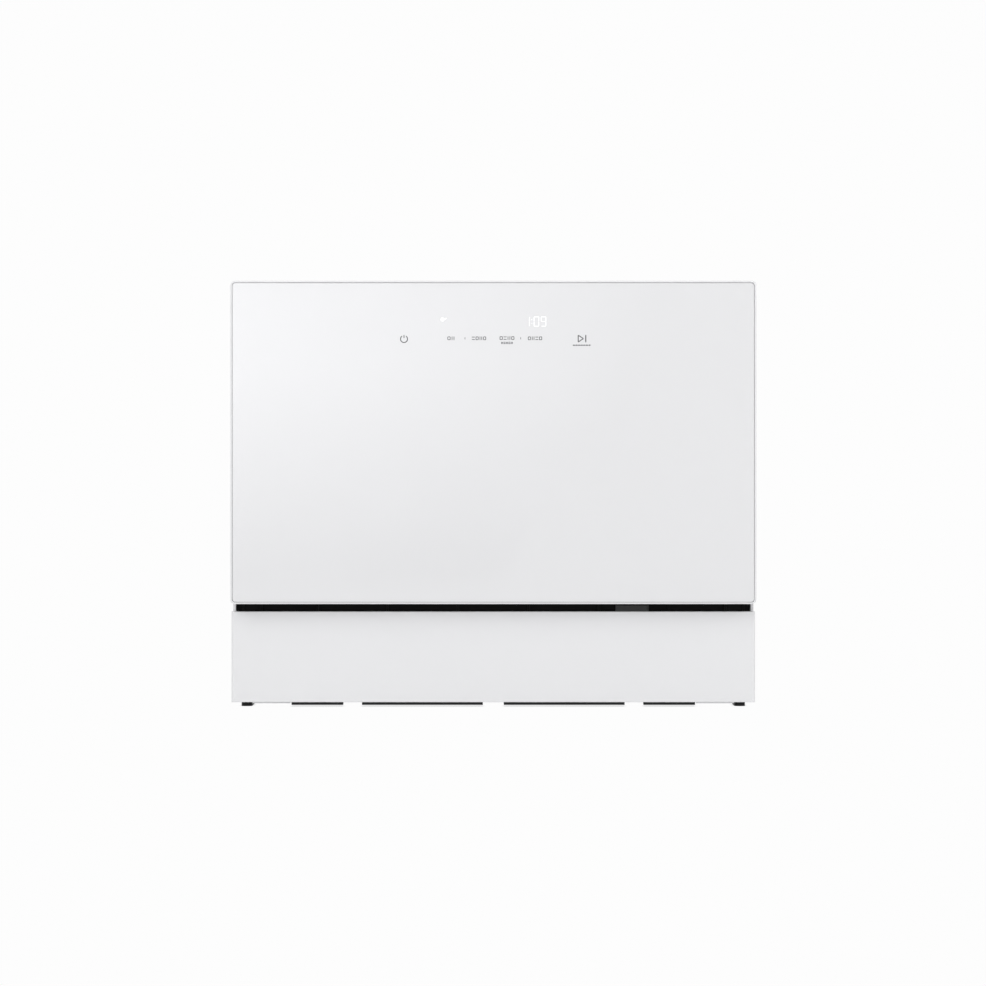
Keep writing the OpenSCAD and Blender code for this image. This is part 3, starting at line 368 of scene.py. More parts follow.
def moulded(
    name, colour, rough, grain, bump, depth, drift, flecks, dust,
    dust_colour=DUST, edge_wear_and_highlight=0.0, edge_wear_and_highlight_tone=0.6, edge=0.0007, coat=0.0, spread=0.1, specular=0.5,
):
    """Moulded plastic, rubber or paint: tint, grain, dust and softened edges; the edges can be made lighter,
    which is wear on some mouldings and painted highlight on the black base.
    """
    m, t, b = new_material(name)
    tint = use(t, "tint", Color=(*colour, 1), Drift=drift, Flecks=flecks).outputs["Color"]
    mask = use(t, "dust", Amount=dust).outputs["Mask"]
    soft = use(t, "edge", Radius=edge)
    body = mix_colour(t, mask, tint, dust_colour)
    # lighter edges: wear on some mouldings, and on the black base a painted highlight where light catches the
    # rib edges
    if edge_wear_and_highlight:
        worn_and_lit_edges = maths(t, "MULTIPLY", soft.outputs["Edge"], edge_wear_and_highlight)
        body = mix_colour(t, worn_and_lit_edges, body, (edge_wear_and_highlight_tone, edge_wear_and_highlight_tone, edge_wear_and_highlight_tone, 1))
    feed(t, b, "Base_Color", body)
    skin = use(t, "grain", Scale=grain, Roughness=rough, Spread=spread)
    feed(t, b, "Roughness", maths(t, "ADD", skin.outputs["Roughness"], maths(t, "MULTIPLY", mask, 0.3), True))
    bumped = node(t, "ShaderNodeBump", None, Height=skin.outputs["Height"], Normal=soft.outputs["Normal"],
                  Strength=bump, Distance=depth)
    feed(t, b, "Normal", bumped.outputs[0])
    b.inputs["Specular IOR Level"].default_value = specular
    if coat:
        b.inputs["Coat Weight"].default_value = coat
        b.inputs["Coat Roughness"].default_value = 0.12
    return m


# Radius that the edges of sheet and tube seem to have
SHEET_EDGE = 0.0006


def brushed_metal(name, colour, rough, bump, depth, water=0.0):
    """Brushed or drawn metal; water adds the faint rings that drops leave as they dry."""
    m, t, b = new_material(name)
    grain = use(t, "brushed", Roughness=rough)
    tint = use(t, "tint", Color=(*colour, 1), Drift=0.05, Flecks=0.02).outputs["Color"]
    tone = scale_colour(t, tint, grain.outputs["Tone"])
    rough_out = grain.outputs["Roughness"]
    if water:
        cells = node(t, "ShaderNodeTexVoronoi", None, Vector=object_coords(t), Scale=70.0, Randomness=1.0)
        ring = remap(t, maths(t, "ABSOLUTE", maths(t, "SUBTRACT", cells.outputs["Distance"], 0.3)), 0.05, 0.0)
        where = remap(t, noise(t, object_coords(t), 9.0), 0.5, 0.7)
        spots = maths(t, "MULTIPLY", maths(t, "MULTIPLY", ring, where), water)
        tone = mix_colour(t, spots, tone, (0.8, 0.8, 0.8, 1))
        rough_out = maths(t, "ADD", rough_out, maths(t, "MULTIPLY", spots, 0.25), True)
    feed(t, b, "Base_Color", tone)
    feed(t, b, "Roughness", rough_out)
    b.inputs["Metallic"].default_value = 1.0
    add_bump(t, b, grain.outputs["Height"], bump, depth, SHEET_EDGE)
    return m


def galvanised():
    """Zinc-coated sheet with its spangle of crystals."""
    m, t, b = new_material("galvanised_sheet")
    co = object_coords(t)
    cells = node(t, "ShaderNodeTexVoronoi", None, Vector=co, Scale=170.0)
    shade = node(t, "ShaderNodeSeparateColor", None, Color=cells.outputs["Color"]).outputs[0]
    tone = remap(t, shade, 0.0, 1.0, 0.47, 0.54)
    blue = maths(t, "MULTIPLY", tone, 1.03)
    colour = node(t, "ShaderNodeCombineColor", None, Red=tone, Green=tone, Blue=blue).outputs[0]
    mask = use(t, "dust", Amount=0.3).outputs["Mask"]
    feed(t, b, "Base_Color", mix_colour(t, mask, colour, (0.4, 0.38, 0.35, 1)))
    feed(t, b, "Roughness", remap(t, noise(t, co, 40.0, 5.0), 0.2, 0.8, 0.34, 0.56))
    b.inputs["Metallic"].default_value = 0.85
    add_bump(t, b, cells.outputs["Distance"], 0.04, 0.0001, SHEET_EDGE)
    return m


def white_glass():
    """Back-painted glass: even colour, a polished face and faint smudges."""
    m, t, b = new_material("white_door_glass")
    tint = use(t, "tint", Color=(*colours().glass, 1), Drift=0.006, Flecks=0.004, Fleck_Scale=300.0)
    feed(t, b, "Base_Color", tint.outputs["Color"])
    co = object_coords(t)
    feed(t, b, "Roughness", remap(t, noise(t, co, 14.0, 6.0, 0.6), 0.5, 0.8, 0.03, 0.09))
    b.inputs["IOR"].default_value = 1.52
    add_bump(t, b, noise(t, co, 3.0, 1.0), 0.02, 0.0002)
    return m


def felt():
    """Pressed felt: matted fibres."""
    m, t, b = new_material("felt_blanket")
    fibres = noise(t, object_coords(t, (1, 3, 1)), 500.0, 6.0, 2.0)
    feed(t, b, "Base_Color", grey_of(t, remap(t, fibres, 0.3, 0.7, 0.02, 0.09)))
    feed(t, b, "Roughness", remap(t, fibres, 0.3, 0.7, 1.0, 0.85))
    add_bump(t, b, fibres, 0.6, 0.0005)
    return m


def circuit_board():
    """Green board with a lattice of copper tracks under its coating."""
    m, t, b = new_material("circuit_board")
    co = object_coords(t, (420, 420, 420))
    tracks = node(t, "ShaderNodeTexBrick", None, Vector=co, Scale=1.0, Color1=(0.012, 0.09, 0.04, 1),
                  Color2=(0.015, 0.12, 0.05, 1), Mortar=(0.04, 0.24, 0.1, 1), Mortar_Size=0.06)
    mask = use(t, "dust", Amount=0.35).outputs["Mask"]
    feed(t, b, "Base_Color", mix_colour(t, mask, tracks.outputs["Color"], (0.3, 0.29, 0.27, 1)))
    feed(t, b, "Roughness", maths(t, "ADD", maths(t, "MULTIPLY", tracks.outputs["Fac"], 0.12), 0.3))
    return m


def hose():
    """Corrugated hose: rings round its run, in the plane the hose lies in."""
    m, t, b = new_material("corrugated_hose")
    tint = use(t, "tint", Color=(0.045, 0.045, 0.048, 1), Drift=0.2, Flecks=0.3)
    feed(t, b, "Base_Color", tint.outputs["Color"])
    skin = use(t, "grain", Scale=800.0, Roughness=0.6, Spread=0.15)
    feed(t, b, "Roughness", skin.outputs["Roughness"])
    rings = node(t, "ShaderNodeTexWave", {"wave_type": "RINGS", "rings_direction": "SPHERICAL"},
                 Vector=object_coords(t), Scale=55.0, Distortion=0.0).outputs["Fac"]
    height = maths(t, "ADD", rings, maths(t, "MULTIPLY", skin.outputs["Height"], 0.1))
    add_bump(t, b, height, 0.7, 0.001)
    return m


def ink():
    """Printed ink with a fine screen to it."""
    m, t, b = new_material("printed_ink")
    tint = use(t, "tint", Color=(*colours().ink, 1), Drift=0.1, Flecks=0.25, Fleck_Scale=4000.0)
    feed(t, b, "Base_Color", tint.outputs["Color"])
    skin = use(t, "grain", Scale=4000.0, Roughness=0.3, Spread=0.1)
    feed(t, b, "Roughness", skin.outputs["Roughness"])
    return m


def lamp():
    """Lit segments: a diffuser whose glow is a little uneven."""
    m, t, b = new_material("lit_segment")
    tint = use(t, "tint", Color=(*colours().lamp, 1), Drift=0.05, Flecks=0.04, Fleck_Scale=1500.0)
    glow = tint.outputs["Color"]
    feed(t, b, "Base_Color", glow)
    feed(t, b, "Emission_Color", glow)
    b.inputs["Emission Strength"].default_value = 0.1
    b.inputs["Roughness"].default_value = 0.4
    return m


MATERIALS = {}


def build_materials():
    GROUPS.update(
        tint=make_tint(), dust=make_dust(), edge=make_soft_edge(), grain=make_grain(), brushed=make_brushed()
    )
    c = colours()
    MATERIALS.update(
        white_shell=moulded(
            "satin_enamel", tuple(c.enamel),
            rough=0.3, grain=420.0, bump=0.05, depth=0.00004, drift=0.012, flecks=0.006, dust=0.06,
            dust_colour=PALE_DUST, coat=0.3, edge=0.001,
        ),
        white_plastic=moulded(
            "white_moulding", tuple(c.moulding),
            rough=0.42, grain=1500.0, bump=0.07, depth=0.00004, drift=0.012, flecks=0.01, dust=0.06,
            dust_colour=PALE_DUST, edge=0.0009,
        ),
        door_glass=white_glass(),
        galvanised=galvanised(),
        black_base=moulded(
            "black_moulding", tuple(c.base),
            rough=0.6, grain=1300.0, bump=0.12, depth=0.00006, drift=0.3, flecks=0.4, dust=0.02,
            # its lighter edges are painted highlight on the ribs in the dark slot, not wear
            edge_wear_and_highlight=0.5, edge_wear_and_highlight_tone=0.16, spread=0.16, specular=0.2,
        ),
        gap_grey=moulded(
            "gap_cover_moulding", (0.13, 0.13, 0.132),
            rough=0.4, grain=1500.0, bump=0.08, depth=0.00005, drift=0.1, flecks=0.2, dust=0.03,
        ),
        stainless=brushed_metal(
            "brushed_stainless", tuple(c.steel),
            rough=0.27, bump=0.05, depth=0.00002, water=0.25,
        ),
        zinc=brushed_metal(
            "bright_zinc", (0.62, 0.63, 0.62),
            rough=0.24, bump=0.03, depth=0.00001,
        ),
        felt=felt(),
        seal_rubber=moulded(
            "grey_seal", (0.075, 0.078, 0.082),
            rough=0.62, grain=900.0, bump=0.1, depth=0.00006, drift=0.15, flecks=0.2, dust=0.1,
        ),
        grey_moulding=moulded(
            "grey_moulding", (0.22, 0.235, 0.25),
            rough=0.45, grain=1300.0, bump=0.09, depth=0.00005, drift=0.06, flecks=0.1, dust=0.1,
            edge_wear_and_highlight=0.15,
        ),
        dark_moulding=moulded(
            "dark_moulding", (0.035, 0.037, 0.04),
            rough=0.5, grain=1100.0, bump=0.1, depth=0.00006, drift=0.2, flecks=0.3, dust=0.3,
        ),
        heater_steel=brushed_metal(
            "drawn_tube", (0.55, 0.54, 0.5),
            rough=0.36, bump=0.05, depth=0.00002,
        ),
        hose_rubber=hose(),
        board_green=circuit_board(),
        rack_coating=moulded(
            "nylon_coated_wire", (0.24, 0.255, 0.27),
            rough=0.28, grain=500.0, bump=0.07, depth=0.0001, drift=0.08, flecks=0.06, dust=0.03,
            coat=0.25, edge=0.0003, spread=0.14,
        ),
        rack_moulding=moulded(
            "rack_moulding", (0.17, 0.18, 0.195),
            rough=0.44, grain=1300.0, bump=0.09, depth=0.00005, drift=0.06, flecks=0.1, dust=0.05,
            edge_wear_and_highlight=0.2,
        ),
        ink=ink(),
        lamp=lamp(),
        # painted shade: a dark strip in the gap round the door glass, where there is only shade
        rim_bead=moulded(
            "glass_gap_painted_shade", (0.15, 0.152, 0.155),
            rough=0.5, grain=1500.0, bump=0.05, depth=0.00003, drift=0.05, flecks=0.05, dust=0.02,
        ),
    )


# ---------- geometry helpers ----------


def new_object(name, bm, material):
    """Turns a bmesh in the row frame into an object."""
    me = bpy.data.meshes.new(name)
    bm.to_mesh(me)
    bm.free()
    me.materials.append(material)
    o = bpy.data.objects.new(name, me)
    bpy.context.scene.collection.objects.link(o)
    return o


def finish_piece(name, bm, material, body, replaced=()):
    """Makes a piece that rides on a body, and hides the solids it stands for."""
    bmesh.ops.recalc_face_normals(bm, faces=bm.faces)
    o = new_object(name, bm, material)
    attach(o, body)
    if replaced:
        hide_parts(*replaced)


def at_px(px, py):
    """The point of the glass under a pixel of the photograph, as (x, z)."""
    return (px - MID_PX[0]) * PX, EYE_Z + (MID_PX[1] - py) * PX


def verts_of(geom):
    return [g for g in geom if isinstance(g, bmesh.types.BMVert)]


def edges_at(bm, y):
    """The edges that lie wholly in the plane at y."""
    return [e for e in bm.edges if all(abs(v.co.y - y) < 1e-6 for v in e.verts)]


def bar(bm, a, b, w):
    """A printed stroke of width w between two points (x, z) of the glass."""
    along = Vector((b[0] - a[0], b[1] - a[1]))
    n = Vector((-along.y, along.x)).normalized() * w / 2
    starts = [(a[0] + n.x, a[1] + n.y), (a[0] - n.x, a[1] - n.y)]
    ends = [(b[0] - n.x, b[1] - n.y), (b[0] + n.x, b[1] + n.y)]
    back = bm.faces.new([bm.verts.new((x, GLASS_Y, z)) for x, z in starts + ends])
    front = bmesh.ops.extrude_face_region(bm, geom=[back], use_keep_orig=True)["geom"]
    bmesh.ops.translate(bm, vec=(0, -INK_THICKNESS, 0), verts=verts_of(front))


def arc(bm, centre, r, w, start, end, steps):
    """A printed stroke of width w bent round a centre (x, z), between two angles in degrees."""
    hub = Vector((centre[0], GLASS_Y, centre[1]))
    a = math.radians(start)
    section = [
        bm.verts.new(hub + Vector((q * math.cos(a), -y, q * math.sin(a))))
        for q, y in ((r + w / 2, 0), (r + w / 2, INK_THICKNESS), (r - w / 2, INK_THICKNESS), (r - w / 2, 0))
    ]
    loop = [bm.edges.new(pair) for pair in zip(section, section[1:] + section[:1])]
    full = end - start == 360
    last = bmesh.ops.spin(
        bm, geom=section + loop, cent=hub, axis=(0, -1, 0), angle=math.radians(end - start), steps=steps,
        use_merge=full,
    )["geom_last"]
    if not full:
        bm.faces.new(section)
        bmesh.ops.holes_fill(bm, edges=[g for g in last if isinstance(g, bmesh.types.BMEdge)], sides=4)


def box_mark(bm, cx, cz, w, h, s):
    """Four strokes round a small rectangle."""
    x0, x1, z0, z1 = cx - w / 2, cx + w / 2, cz - h / 2, cz + h / 2
    for a, b in (((x0, z1), (x1, z1)), ((x0, z0), (x1, z0)), ((x0, z0), (x0, z1)), ((x1, z0), (x1, z1))):
        bar(bm, a, b, s)


def key_row(bm, px, py, width, height, kinds, s):
    """A row of small plain marks about a pixel: o is a box, b two level bars, v two upright ones."""
    w, h = width * PX / len(kinds), height * PX
    x, z = at_px(px - width / 2, py)
    for i, kind in enumerate(kinds):
        cx = x + (i + 0.5) * w
        if kind == "o":
            box_mark(bm, cx, z, w * 0.6, h * 0.72, s * 0.85)
            continue
        for side in (-1, 1):
            if kind == "b":
                level = z + side * h * 0.3
                bar(bm, (cx - w * 0.4, level), (cx + w * 0.4, level), s * 0.9)
            else:
                upright = cx + side * w * 0.24
                bar(bm, (upright, z - h * 0.45), (upright, z + h * 0.45), s * 0.9)


SEGMENTS = {
    "0": "abcdef", "1": "bc", "2": "abged", "3": "abgcd", "4": "fgbc",
    "5": "afgcd", "6": "afgedc", "7": "abc", "8": "abcdefg", "9": "abcdfg",
}


def digit(bm, char, x, z, h, w):
    """A seven-segment digit whose lower left corner is at (x, z)."""
    dw, gap = h * DIGIT_ASPECT, w * 0.35
    ends = {
        "a": ((0, h), (dw, h)), "b": ((dw, h), (dw, h / 2)), "c": ((dw, h / 2), (dw, 0)),
        "d": ((0, 0), (dw, 0)), "e": ((0, h / 2), (0, 0)), "f": ((0, h), (0, h / 2)),
        "g": ((0, h / 2), (dw, h / 2)),
    }
    for segment in SEGMENTS[char]:
        (ax, az), (bx, bz) = ends[segment]
        d = Vector((bx - ax, bz - az)).normalized() * gap
        bar(bm, (x + ax + d.x, z + az + d.y), (x + bx - d.x, z + bz - d.y), w)


def pane_outline(corner):
    """The door glass's outline with its rounded corners, as (x, z) points."""
    low, high, steps = GLASS_LOW, GLASS_HIGH, 6
    centres = (
        (high.x - corner, high.z - corner, 0), (low.x + corner, high.z - corner, 90),
        (low.x + corner, low.z + corner, 180), (high.x - corner, low.z + corner, 270),
    )
    turns = [(cx, cz, math.radians(a0 + 90 * i / steps)) for cx, cz, a0 in centres for i in range(steps + 1)]
    return [(cx + corner * math.cos(a), cz + corner * math.sin(a)) for cx, cz, a in turns]


def pane_block(corner):
    """The door glass as a block with rounded corners, before its front edge is ground."""
    # the faces are made one by one: after an extrude the bevel would give the edge another shape
    bm = bmesh.new()
    outline = pane_outline(corner)
    front = [bm.verts.new((x, GLASS_Y, z)) for x, z in outline]
    back = [bm.verts.new((x, GLASS_HIGH.y, z)) for x, z in outline]
    bm.faces.new(front)
    bm.faces.new(list(reversed(back)))
    sides = list(zip(front, back))
    for (front_a, back_a), (front_b, back_b) in zip(sides, sides[1:] + sides[:1]):
        bm.faces.new((front_b, front_a, back_a, back_b))
    return bm


def screw_head(bm, at, r, h, turn):
    """A domed head that faces +Y, with a cross-shaped recess."""
    rings, around = 6, 32
    before = set(bm.verts)
    profile = []
    for k in range(rings + 1):
        rise = k / rings * math.pi / 2
        q = r * math.cos(rise * 0.92)
        point = Vector((q * math.cos(turn), h * math.sin(rise), q * math.sin(turn)))
        profile.append(bm.verts.new(at + point))
    run = [bm.edges.new(pair) for pair in zip(profile, profile[1:])]
    bmesh.ops.spin(
        bm, geom=profile + run, cent=at, axis=(0, -1, 0), angle=2 * math.pi, steps=around, use_merge=True
    )
    made = [v for v in bm.verts if v not in before]
    rims = {e for v in made for e in v.link_edges if e.is_boundary}
    bmesh.ops.holes_fill(bm, edges=list(rims), sides=around)
    for v in made:
        out = v.co - at
        a = math.atan2(out.z, out.x) - turn
        if math.hypot(out.x, out.z) < r * 0.8 and abs(math.cos(2 * a)) > 0.86:
            v.co.y = at.y + max(out.y - 0.7 * MM, 0.0)


# ---------- pieces ----------

# The photograph's pixels at which the marks stand
POWER_PX = (404, 339)
KEY_ROWS_PX = (
    (451, 338.3, 8, 4.0, "ov"), (479, 338.3, 15, 4.0, "bovo"), (507, 338.1, 15.5, 4.0, "obvo"),
    (507, 342.9, 12, 2.3, "vbvbv"), (535, 338.3, 15, 4.0, "ovbo"),
)
TICKS_PX = ((465, 338.3), (520.7, 338.3))
START_TRIANGLE_PX = ((578.2, 335.2), (578.2, 342.0), (583.4, 338.6))
START_BAR_PX = ((585.8, 335.0), (585.8, 342.2))
DOTS_PX = tuple(((573 + i * 2.6, 345.2), (574.9 + i * 2.6, 345.2)) for i in range(7))
FIRST_DIGIT_PX = (529.4, 326.2)
LAMP_PX = (442.5, 319.4)

# A lit digit's width, and the room after it and after a colon, as shares of its height
DIGIT_ASPECT = 0.5
DIGIT_ROOM = 0.26
COLON_ROOM = 0.24


class DISHWASHER_OT_materials(bpy.types.Operator):
    """Makes the materials and gives every CAD node the one for its slot"""

    bl_idname = "dishwasher.materials"
    bl_label = "Dress the solids"

    def execute(self, context):
        build_materials()
        slots = {part["node"]: part["material_slot"] for part in frame["record"]["subparts"]}
        for name, o in frame["nodes"].items():
            o.data.materials.clear()
            o.data.materials.append(MATERIALS[slots[name]])
        return {"FINISHED"}


class DISHWASHER_OT_glass(bpy.types.Operator):
    """Makes the door glass with its rounded corners and ground front edge"""

    bl_idname = "dishwasher.glass"
    bl_label = "Door glass"

    def execute(self, context):
        bm = pane_block(pane().corner)
        bmesh.ops.bevel(bm, geom=edges_at(bm, GLASS_Y), offset=pane().edge, offset_type="OFFSET", segments=3,
                        profile=0.5, material=-1, affect="EDGES")
        finish_piece("door_glass_pane", bm, MATERIALS["door_glass"], "door", ["door_glass"])
        return {"FINISHED"}


class DISHWASHER_OT_shaded_gap(bpy.types.Operator):
    """Lays a dark grey strip on the frame's ledge, just outside the glass: painted shade in the gap round the
    pane
    """

    bl_idname = "dishwasher.bead"
    bl_label = "Glass bead"

    def execute(self, context):
        bm = bmesh.new()
        # the strip paints the shade in the gap between the glass and the frame
        y = GLASS_Y + 1.2 * MM
        inner = [bm.verts.new((x, y, z)) for x, z in pane_outline(pane().corner)]
        loop = [bm.edges.new(pair) for pair in zip(inner, inner[1:] + inner[:1])]
        middle = (GLASS_LOW + GLASS_HIGH) / 2
        for v in verts_of(bmesh.ops.extrude_edge_only(bm, edges=loop)["geom"]):
            v.co.x += math.copysign(pane().bead, v.co.x - middle.x)
            v.co.z += math.copysign(pane().bead, v.co.z - middle.z)
        finish_piece("glass_gap_painted_shade", bm, MATERIALS["rim_bead"], "door")
        return {"FINISHED"}


class DISHWASHER_OT_marks(bpy.types.Operator):
    """Prints the plain marks of the touch keys on the glass"""

    bl_idname = "dishwasher.marks"
    bl_label = "Key marks"

    def execute(self, context):
        s = prints().stroke
        bm = bmesh.new()
        # power: a ring, open at the top, with a short stroke
        x, z = at_px(*POWER_PX)
        arc(bm, (x, z), 3.65 * MM, s * 1.2, 125, 415, 20)
        bar(bm, (x, z + 0.9 * MM), (x, z + 4.2 * MM), s * 1.1)
        for row in KEY_ROWS_PX:
            key_row(bm, *row, s)
        for tick in TICKS_PX:
            x, z = at_px(*tick)
            bar(bm, (x, z - 1.1 * MM), (x, z + 1.1 * MM), s * 0.7)
        # start and pause: an open triangle, a bar, and a dotted line below
        tips = [at_px(*q) for q in START_TRIANGLE_PX]
        for a, b in zip(tips, tips[1:] + tips[:1]):
            bar(bm, a, b, s * 1.2)
        bar(bm, *(at_px(*q) for q in START_BAR_PX), s * 1.4)
        for dot in DOTS_PX:
            bar(bm, *(at_px(*q) for q in dot), s * 1.5)
        finish_piece("control_marks", bm, MATERIALS["ink"], "door")
        return {"FINISHED"}


class DISHWASHER_OT_display(bpy.types.Operator):
    """Lights the digits and the small lamp behind the glass"""

    bl_idname = "dishwasher.display"
    bl_label = "Lit digits"

    def execute(self, context):
        h = prints().digit_h
        w = h * 0.075
        x, z = at_px(*FIRST_DIGIT_PX)
        bm = bmesh.new()
        for char in prints().digits:
            if char == ":":
                for level in (0.3, 0.7):
                    bar(bm, (x - w / 2, z + level * h), (x + w / 2, z + level * h), w)
                x += h * COLON_ROOM
                continue
            if char == "1":
                # a 1 fills only the right side of its place
                x -= h * DIGIT_ASPECT
            digit(bm, char, x, z, h, w)
            x += h * (DIGIT_ASPECT + DIGIT_ROOM)
        finish_piece("display_digits", bm, MATERIALS["lamp"], "door")

        bm = bmesh.new()
        x, z = at_px(*LAMP_PX)
        arc(bm, (x, z), 1.4 * MM, 1.3 * MM, 0, 360, 14)
        bar(bm, (x + 1.6 * MM, z - 0.2 * MM), (x + 4.2 * MM, z + 1.4 * MM), 1.0 * MM)
        finish_piece("indicator_lamp", bm, MATERIALS["lamp"], "door")
        return {"FINISHED"}


class DISHWASHER_OT_screws(bpy.types.Operator):
    """Puts domed screw heads with cross recesses where the case screws are"""

    bl_idname = "dishwasher.screws"
    bl_label = "Case screws"

    def execute(self, context):
        low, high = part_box("case_screws")
        r, per_side = 3.6 * MM, 4
        bm = bmesh.new()
        for i in range(2 * per_side):
            x = low.x + r if i < per_side else high.x - r
            z = low.z + r + (high.z - low.z - 2 * r) * (i % per_side) / (per_side - 1)
            # each head stopped at another angle
            screw_head(bm, Vector((x, low.y, z)), r, high.y - low.y, math.radians(14 * i % 90))
        finish_piece("case_screw_heads", bm, MATERIALS["zinc"], "cabinet", ["case_screws"])
        return {"FINISHED"}


# ---------- stage ----------

FLOOR_REACH = 9.0

# The card behind the camera: its distance, its left side seen on the glass, and two pixels of its
# slanted right side
CARD_Y = -6.0
CARD_LEFT = -0.36
CARD_EDGE_PX = ((672, 278), (487, 604))

# Soft lights as name, place, size, the setting that gives their power, and their share of it
LIGHTS = (
    ("key", (-1.4, -2.4, 2.3), 2.2, "key", 1.0),
    ("fill", (2.4, -1.2, 1.3), 2.0, "key", 0.42),
    ("rim", (0.4, 2.4, 2.0), 1.8, "key", 0.5),
    ("front", (0, -3.4, 0.1), 1.6, "front", 1.0),
)
LIGHTS_AIM = (0, 0, 0.2)


def emission_only(name, colour):
    """A material that only glows; returns it with its tree, its emission and its output."""
    m = bpy.data.materials.new(name)
    m.use_nodes = True
    t = m.node_tree
    t.nodes.clear()
    out = t.nodes.new("ShaderNodeOutputMaterial")
    glow = node(t, "ShaderNodeEmission", None, Color=(*colour, 1), Strength=1.0)
    feed(t, out, "Surface", glow.outputs[0])
    return m, t, glow, out


def seen_straight_or_mirrored(tree):
    """1 for the camera's own rays, and for those that leave a mirror or come through glass."""
    path = tree.nodes.new("ShaderNodeLightPath").outputs
    clear = maths(tree, "ADD", path["Is Camera Ray"], path["Is Transmission Ray"])
    return maths(tree, "ADD", clear, path["Is Glossy Ray"], True)


def sheet(name, corners, material):
    """A flat piece of the stage."""
    bm = bmesh.new()
    bm.faces.new([bm.verts.new(c) for c in corners])
    o = new_object(name, bm, material)
    return o


def make_world(s):
    """Pale to the camera and in mirrors, with an even soft light for everything else."""
    world = bpy.data.worlds.new("Studio")
    world.use_nodes = True
    t = world.node_tree
    t.nodes.clear()
    seen = node(t, "ShaderNodeBackground", None, Color=(s.backdrop,) * 3 + (1,), Strength=1.0)
    around = node(t, "ShaderNodeBackground", None, Color=(0.985, 0.99, 1.0, 1), Strength=s.ambient)
    mixed = node(t, "ShaderNodeMixShader", None, i0=seen_straight_or_mirrored(t), i1=around.outputs[0],
                 i2=seen.outputs[0])
    node(t, "ShaderNodeOutputWorld", None, Surface=mixed.outputs[0])
    return world


def make_floor(s):
    """White to the camera with a close contact shadow, plain and diffuse for the light it returns."""
    m, t, glow, out = emission_only("floor", (1, 1, 1))
    shade = node(t, "ShaderNodeAmbientOcclusion", {"samples": 8}, Distance=0.004).outputs["AO"]
    feed(t, glow, "Color", grey_of(t, remap(t, shade, 0.25, 0.95, s.backdrop * 0.55, s.backdrop)))
    diffuse = node(t, "ShaderNodeBsdfDiffuse", None, Color=(0.8, 0.8, 0.8, 1))
    both = node(t, "ShaderNodeMixShader", None, i0=seen_straight_or_mirrored(t), i1=diffuse.outputs[0],
                i2=glow.outputs[0])
    feed(t, out, "Surface", both.outputs[0])
    f = FLOOR_REACH
    sheet("floor", [(-f, -f, 0), (f, -f, 0), (f, f, 0), (-f, f, 0)], m)


def make_card(s):
    """A card that only reflections see; its right side is the slanted line on the glass."""
    reach = (GLASS_Y - CARD_Y + CAMERA_DISTANCE) / CAMERA_DISTANCE
    (top_x, top_z), (foot_x, foot_z) = (
        (x * reach, EYE_Z + (z - EYE_Z) * reach) for x, z in (at_px(*q) for q in CARD_EDGE_PX)
    )
    left = CARD_LEFT * reach
    m, t, glow, _ = emission_only("reflected_card", (1.0, 1.0, 1.02))
    coords = t.nodes.new("ShaderNodeTexCoord").outputs["Object"]
    co = node(t, "ShaderNodeSeparateXYZ", None, Vector=coords)
    across = remap(t, co.outputs["X"], left, top_x, 1.0, 0.2)
    up = remap(t, co.outputs["Z"], foot_z, top_z, 0.1, 1.35)
    fall = maths(t, "MULTIPLY", across, maths(t, "MINIMUM", up, 1.0))
    feed(t, glow, "Strength", maths(t, "MULTIPLY", fall, s.sheen))
    corners = ((left, foot_z), (foot_x, foot_z), (top_x, top_z), (left, top_z))
    card = sheet("reflected_card", [(x, CARD_Y, z) for x, z in corners], m)
    for ray in ("camera", "diffuse", "transmission", "volume_scatter", "shadow"):
        setattr(card, "visible_" + ray, False)


def make_lights(s):
    for name, at, size, setting, share in LIGHTS:
        data = bpy.data.lights.new(name, "AREA")
        data.size, data.energy = size, getattr(s, setting) * share
        o = bpy.data.objects.new(name, data)
        bpy.context.scene.collection.objects.link(o)
        o.location = at
        o.rotation_euler = (Vector(LIGHTS_AIM) - Vector(at)).to_track_quat("-Z", "Y").to_euler()
        # the glass faces the front light, and would mirror it
        o.visible_glossy = name != "front"
        o.visible_camera = False


def make_camera():
    """Straight on, level with the middle of the object, at the photograph's scale on the glass."""
    data = bpy.data.cameras.new("camera")
    data.sensor_width = SENSOR
    data.lens = SENSOR * CAMERA_DISTANCE / (IMAGE_PX * PX)
    data.clip_end = 60
    o = bpy.data.objects.new("camera", data)
    bpy.context.scene.collection.objects.link(o)
    x, z = at_px(IMAGE_PX / 2, IMAGE_PX / 2)
    o.location = (x, DOOR_Y - CAMERA_DISTANCE, z)
    o.rotation_euler = (math.pi / 2, 0, 0)
    return o


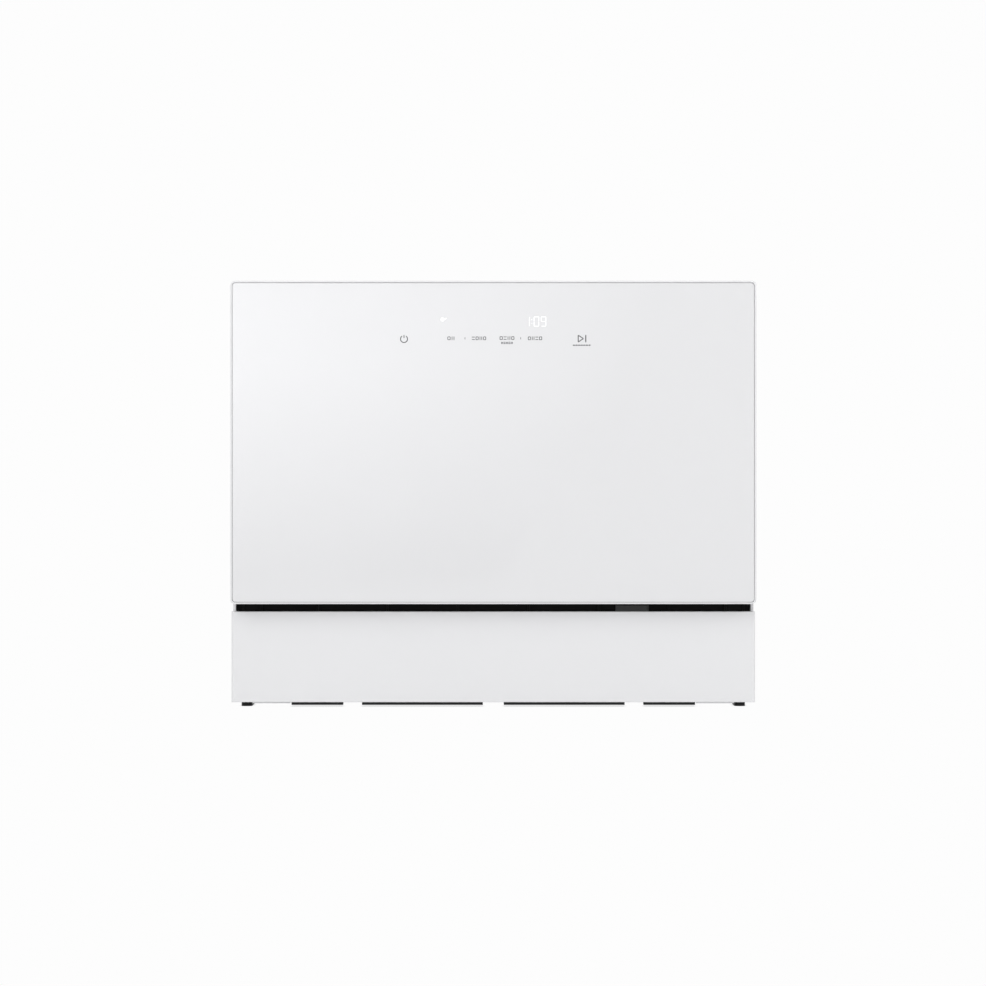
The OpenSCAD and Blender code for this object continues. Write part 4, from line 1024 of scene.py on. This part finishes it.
class DISHWASHER_OT_stage(bpy.types.Operator):
    """Sets the pale floor, the soft lights, the card that the glass reflects, and the camera"""

    bl_idname = "dishwasher.stage"
    bl_label = "Studio"

    def execute(self, context):
        scene = context.scene
        scene.view_settings.view_transform = "Standard"
        scene.world = make_world(stage())
        make_floor(stage())
        make_card(stage())
        make_lights(stage())
        scene.camera = make_camera()
        return {"FINISHED"}


# ---------- add-on ----------


class DISHWASHER_PT_panel(bpy.types.Panel):
    """Lists the pieces and their settings"""

    bl_label = "Dishwasher"
    bl_idname = "DISHWASHER_PT_panel"
    bl_space_type = "VIEW_3D"
    bl_region_type = "UI"
    bl_category = "Dishwasher"

    def draw(self, context):
        for op in OPERATORS:
            self.layout.operator(op.bl_idname)
        for attribute in SETTINGS:
            group = getattr(context.scene, attribute)
            box = self.layout.box()
            for name in group.__annotations__:
                box.prop(group, name)


OPERATORS = (
    DISHWASHER_OT_materials,
    DISHWASHER_OT_glass,
    DISHWASHER_OT_shaded_gap,
    DISHWASHER_OT_marks,
    DISHWASHER_OT_display,
    DISHWASHER_OT_screws,
    DISHWASHER_OT_stage,
)
SETTINGS = {
    "dishwasher_colours": DishwasherColours,
    "dishwasher_pane": DishwasherPane,
    "dishwasher_print": DishwasherPrint,
    "dishwasher_stage": DishwasherStage,
}
CLASSES = (*SETTINGS.values(), *OPERATORS, DISHWASHER_PT_panel)


def register():
    for c in CLASSES:
        bpy.utils.register_class(c)
    for attribute, group in SETTINGS.items():
        setattr(bpy.types.Scene, attribute, bpy.props.PointerProperty(type=group))


def unregister():
    for attribute in SETTINGS:
        delattr(bpy.types.Scene, attribute)
    for c in reversed(CLASSES):
        bpy.utils.unregister_class(c)


def main():
    register()
    bpy.ops.dishwasher.materials()
    bpy.ops.dishwasher.glass()
    bpy.ops.dishwasher.bead()
    bpy.ops.dishwasher.marks()
    bpy.ops.dishwasher.display()
    bpy.ops.dishwasher.screws()
    bpy.ops.dishwasher.stage()


if __name__ == "__main__":
    main()
